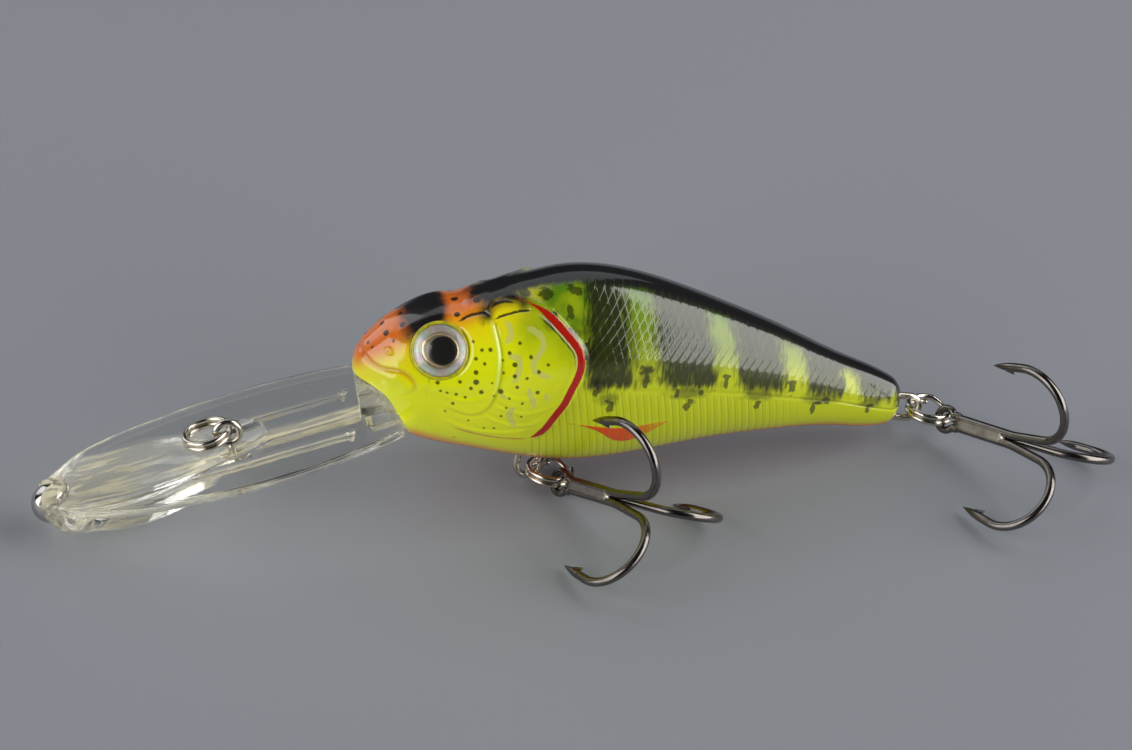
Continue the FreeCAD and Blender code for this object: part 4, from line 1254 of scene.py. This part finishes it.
def barb_shape(root, way, inner):
    """Sliver cut from the wire: thin at its front, lifted at its back, with a hollow face behind."""
    across_wire = np.cross(way, inner)
    rings = []
    for t, rise, half in BARB:
        middle = root + way * t
        low = middle + inner * max(rise - BARB_T, 0.1)
        high = middle + inner * rise
        rings.append([low - across_wire * half, high - across_wire * half * 0.5,
                      high + across_wire * half * 0.5, low + across_wire * half])
    return tube(rings)


def turn_about_shank(shape, degrees):
    return turned(shape, Matrix.Rotation(radians(degrees), 4, "X"))


def web_shape(away):
    """Braze that fills the flat front between the two wires of the double hook, dished at its end."""
    across_front = np.cross((1, 0, 0), away)
    rings = []
    for x in np.linspace(WEB_START, SHANK_END - 0.1, 30):
        ease = smoothstep(WEB_START, 2.6, x) * smoothstep(SHANK_END, SHANK_END - 0.6, x)
        half = WEB_HALF_W * ease + 0.06
        front = 0.43 + 0.47 * ease
        spot = np.array((x, 0, 0))
        ring = [spot - away * 0.1 + across_front * -half]
        for f in np.linspace(-1, 1, 9):
            sag = 0.02 * (1 - f * f)
            ring.append(spot - away * (front - sag) + across_front * half * f)
        rings.append(ring + [spot - away * 0.1 + across_front * half])
    return tube(rings)


def eye_loop(away):
    """Wire of the eye: it leaves one shank wire, goes round the hole and comes back along the other."""
    side = np.cross((1, 0, 0), away)
    shank_half = CLUSTER_R * sin(radians(ARMS_APART / 2))
    opening = radians(38)
    turn = np.linspace(-pi + opening, pi - opening, 60) + pi
    circle = [(HOOK_EYE_R * cos(a), HOOK_EYE_R * sin(a)) for a in turn]
    run_in = [(3.6, shank_half), (2.9, shank_half + 0.02), (2.2, shank_half + 0.12), (1.6, shank_half + 0.27)]
    outline = run_in + circle + [(x, -y) for x, y in run_in[::-1]]
    path = np.array([np.array((x, 0, 0)) + side * y - away * (CLUSTER_R / 2) for x, y in outline])
    return wire(curve_through(path, 0.12), HOOK_EYE_WIRE_R + 0.03, 20, flat_way=away)


def treble(end, axes, metal, braze_metal, silver):
    """Double hook with its eye, the single hook behind it and the bead of braze at their crotch."""
    body = end + "_treble"
    shank_way, hook_way = (Vector(way).normalized() for way in axes)
    hook_way = (hook_way - shank_way * hook_way.dot(shank_way)).normalized()
    turn = Matrix((shank_way, hook_way.cross(shank_way), hook_way)).transposed().to_4x4()
    place = LURE @ Matrix.Translation(in_lure(JOINTS[end + "_treble_swing"]["pos_m"])) @ turn
    between = radians(ARMS_APART / 2)
    away = np.array((0, sin(between), -cos(between)))
    shift = Matrix.Translation(Vector(away * CLUSTER_R / 2))
    arm = hook_arm(DOUBLE_START)
    double = joined([turn_about_shank(arm, 0), turn_about_shank(arm, ARMS_APART), eye_loop(away)])
    single = turn_about_shank(hook_arm(SINGLE_START), 2 * ARMS_APART)
    for part, shape, look, nodes in (("double_hook", double, metal, (end + "_treble_double",)),
                                     ("single_hook", single, metal, (end + "_treble_single",)),
                                     ("hook_braze", web_shape(away), braze_metal, ())):
        piece(f"{end}_{part}", turned(shape, shift), place, look, body, sharp=HOOK_CREASE,
              replaces=nodes)
    bead, faces = revolved(BEAD, 24)
    middle = np.array((SHANK_END - BEAD_BACK, 0, 0)) - away * BEAD_OUT
    bead = bead * BEAD_STRETCH + middle + away * CLUSTER_R / 2
    piece(end + "_braze_bead", (bead, faces), place, silver, body)


# ---- eye pieces ----------------------------------------------------------------------------------
def teardrop(angle):
    """Outline of the pupil's bezel: round, drawn to a blunt point towards the nose."""
    return 1 + 0.26 * np.cos((angle - pi) / 2) ** 8


def eye_shapes():
    """Lip, foil, bezel, pupil and dome of an eye, about its own axis."""
    crest = [(RIM_R + 0.2 * cos(a), 0.02 + 0.19 * sin(a))
             for a in np.linspace(pi * 1.25, -0.3, 12)[1:]]
    lip = [(3.18, -1.7), (3.2, -0.2)] + crest
    lip += [(RIM_R + 0.28, -0.25), (RIM_R + 0.4, -0.8), (RIM_R + 0.5, -1.7)]
    foil = [(0, -0.30), (1.5, -0.30), (2.25, -0.26), (2.3, -0.2), (2.42, -0.16), (2.62, -0.27), (2.68, -0.33),
            (2.8, -0.3), (2.95, -0.14), (3.1, -0.08), (3.2, -0.14), (3.22, -0.5), (0, -0.5)]
    bezel = [(1.9, -0.27), (1.93, -0.14), (2.0, -0.08), (2.1, -0.1), (2.17, -0.2), (2.2, -0.29)]
    pupil = [(0, -0.14), (1.3, -0.15), (1.76, -0.17), (1.84, -0.21), (1.86, -0.29), (0, -0.29)]
    dome_r = (DOME_HALF_W ** 2 + DOME_RISE ** 2) / (2 * DOME_RISE)
    swing = asin(DOME_HALF_W / dome_r)
    dome = [(dome_r * sin(a), 0.82 - dome_r * (1 - cos(a))) for a in np.linspace(0, swing, 22)]
    dome += [(3.13, -0.12), (3.0, -0.13), (0, -0.13)]
    return {"lip": tidy(revolved(lip + lip[:1])), "foil": revolved(foil),
            "bezel": revolved(bezel, shape=teardrop), "pupil": revolved(pupil), "dome": revolved(dome)}


def foil_material():
    """Silver foil with a faint rainbow that turns round the eye and fine spun lines."""
    s = Shader("eye_foil", own_axes=True)
    x, y, _ = s.axes()
    angle = s.math("ARCTAN2", y, x)
    radius = s.math("SQRT", s.plus(s.times(x, x), s.times(y, y)))
    hue = s.math("FRACT", s.plus(s.times(angle, 0.9), s.times(s.noise(0.7, 2), 2.5)))
    rainbow = s.add("CombineColor", {0: hue, 1: 0.2, 2: 0.86}, mode="HSV").outputs[0]
    base = s.mix(s.ramp(s.noise(1.2, 2), 0.3, 0.7, 0.15, 0.75), linear(204, 202, 190), rainbow)
    base = s.mix(s.ramp(radius, 2.55, 2.3), base, linear(168, 160, 136))
    spun = s.math("SINE", s.times(radius, 60))
    return s.finish({"Base Color": base, "Metallic": 0.8, "Roughness": 0.28,
                     "Normal": s.bump(spun, 0.15, 0.02)})


def pupil_material():
    """Gloss black with a trace of dust in it."""
    s = Shader("eye_pupil", own_axes=True)
    base = s.mix(s.ramp(s.noise(12, 3), 0.4, 0.8), linear(8, 8, 8), linear(26, 25, 20))
    return s.finish({"Base Color": base, "Roughness": 0.3, "Normal": s.bump(s.noise(14), 0.1, 0.01)})


def eyes(clear):
    """Both eyes, mirrored across the middle plane."""
    foil, pupil, rim = foil_material(), pupil_material(), rim_material()
    bezel = metal_material("eye_bezel", (244, 226, 184), (214, 192, 146), 0.3, 0.08)
    looks = {"lip": (rim, "painted_body", None), "foil": (foil, "eye_foil", "eye_foil"),
             "bezel": (bezel, "eye_foil", None), "pupil": (pupil, "eye_pupil", "eye_pupil"),
             "dome": (clear, "clear_lens", "eye_lens")}
    for side, flip in (("left", 1), ("right", -1)):
        place = LURE @ Matrix.Diagonal((1, flip, 1, 1)) @ EYE_PLACE @ Matrix.Diagonal((1, 1, flip, 1))
        for part, (points, faces) in eye_shapes().items():
            shift = PUPIL_SHIFT if part in ("bezel", "pupil") else (0, 0, 0)
            shape = (np.array(points) + shift) * (1, 1, flip), [face[::flip] for face in faces]
            material, slot, node = looks[part]
            piece(f"eye_{part}_{side}", shape, place, material, sharp=EYE_CREASE,
                  replaces=(f"{node}_{side}",) if node else ())


# ---- carried-over nodes --------------------------------------------------------------------------
def dress(material, *names):
    """Gives CAD nodes a material."""
    for name in names:
        mesh_slots = NODES[name].material_slots
        if not mesh_slots:
            NODES[name].data.materials.append(material)
        for mesh_slot in mesh_slots:
            mesh_slot.link = "OBJECT"
            mesh_slot.material = material


def floor_material():
    """Matt grey paper with a very faint grain."""
    s = Shader("studio_paper")
    where = s.add("TexCoord").outputs["Object"]
    soft = s.noise(3, 2, where)
    base = s.mix(s.ramp(soft, 0.3, 0.7), linear(145, 149, 157), linear(141, 145, 153))
    return s.finish({"Base Color": base, "Roughness": 0.55,
                     "Normal": s.bump(s.noise(900, 2, where), 0.05, 0.1)})


def studio():
    """Floor at the lowest point of the object, and soft light from above."""
    low = CAD_BOX[0].z
    mesh = bpy.data.meshes.new("floor")
    corners = [(x * FLOOR_HALF, y * FLOOR_HALF, low) for x, y in ((-1, -1), (1, -1), (1, 1), (-1, 1))]
    mesh.from_pydata(corners, [], [(0, 1, 2, 3)])
    mesh.materials.append(floor_material())
    linked("floor", mesh)
    for name, panel in SOFT_BOXES.items():
        soft_box("softbox_" + name, *panel)
    world = bpy.data.worlds.new("studio")
    world.use_nodes = True
    sky = world.node_tree.nodes["Background"].inputs
    sky[0].default_value = (*linear(150, 156, 168), 1)
    sky[1].default_value = WORLD_LIGHT
    bpy.context.scene.world = world
    bpy.context.scene.view_settings.view_transform = "Standard"


# ---- the lure ------------------------------------------------------------------------------------
BELLY_TREBLE_AXES = ((0.436, -0.843, 0.315), (-0.364, 0.154, 0.919))
TAIL_TREBLE_AXES = ((0.511, -0.827, 0.233), (-0.355, 0.044, 0.933))

camera()
studio()
body_skin(paint_material())
clear_bill = clear_material("clear_bill", (0.995, 0.995, 0.98), (0.98, 0.965, 0.86), 0.75)
moulding = tidy(bill_shape())
for part, shape, axes, haze, nodes in (
        ("moulding", moulding, BILL, bill_haze(moulding[0]), ("diving_bill",)),
        ("collar", tidy(collar_shape()), LURE, COLLAR_HAZE, ()),
        ("block", tidy(block_shape()), BILL, BLOCK_HAZE, ())):
    piece("clear_bill_" + part, shape, axes, clear_bill, sharp=CLEAR_CREASE,
          masks={"haze": np.broadcast_to(haze, len(shape[0]))}, replaces=nodes)
eyes(clear_material("clear_lens", (0.99, 0.99, 0.99), (0.985, 0.985, 0.98)))

METALS = {
    "nickel_wire": ((214, 208, 196), (180, 170, 152), 0.16, 0.08),
    "dark_nickel": ((122, 117, 114), (96, 90, 86), 0.17, 0.08),
    "braze_nickel": ((128, 124, 120), (98, 92, 88), 0.34, 0.5),
    "silver_braze": ((226, 220, 208), (190, 182, 166), 0.25, 0.4),
    "polished_steel": ((200, 198, 194), (170, 166, 160), 0.1, 0.08),
    "cast_weight": ((110, 112, 116), (84, 86, 90), 0.5, 0.6)}
nickel, dark_nickel, braze_nickel, silver_braze, steel, lead = (
    metal_material(name, *look) for name, look in METALS.items())
dress(nickel, "belly_hanger", "tail_hanger", "line_tie_wire")
dress(steel, "bill_tip_ball", "rattle_ball_front", "rattle_ball_middle", "rattle_ball_rear")
dress(lead, "ballast_weight")

split_ring("line_tie_ring", 40, nickel, BILL)
split_ring("belly_ring", 80, nickel)
split_ring("tail_ring", 80, nickel)
treble("belly", BELLY_TREBLE_AXES, dark_nickel, braze_nickel, silver_braze)
treble("tail", TAIL_TREBLE_AXES, dark_nickel, braze_nickel, silver_braze)
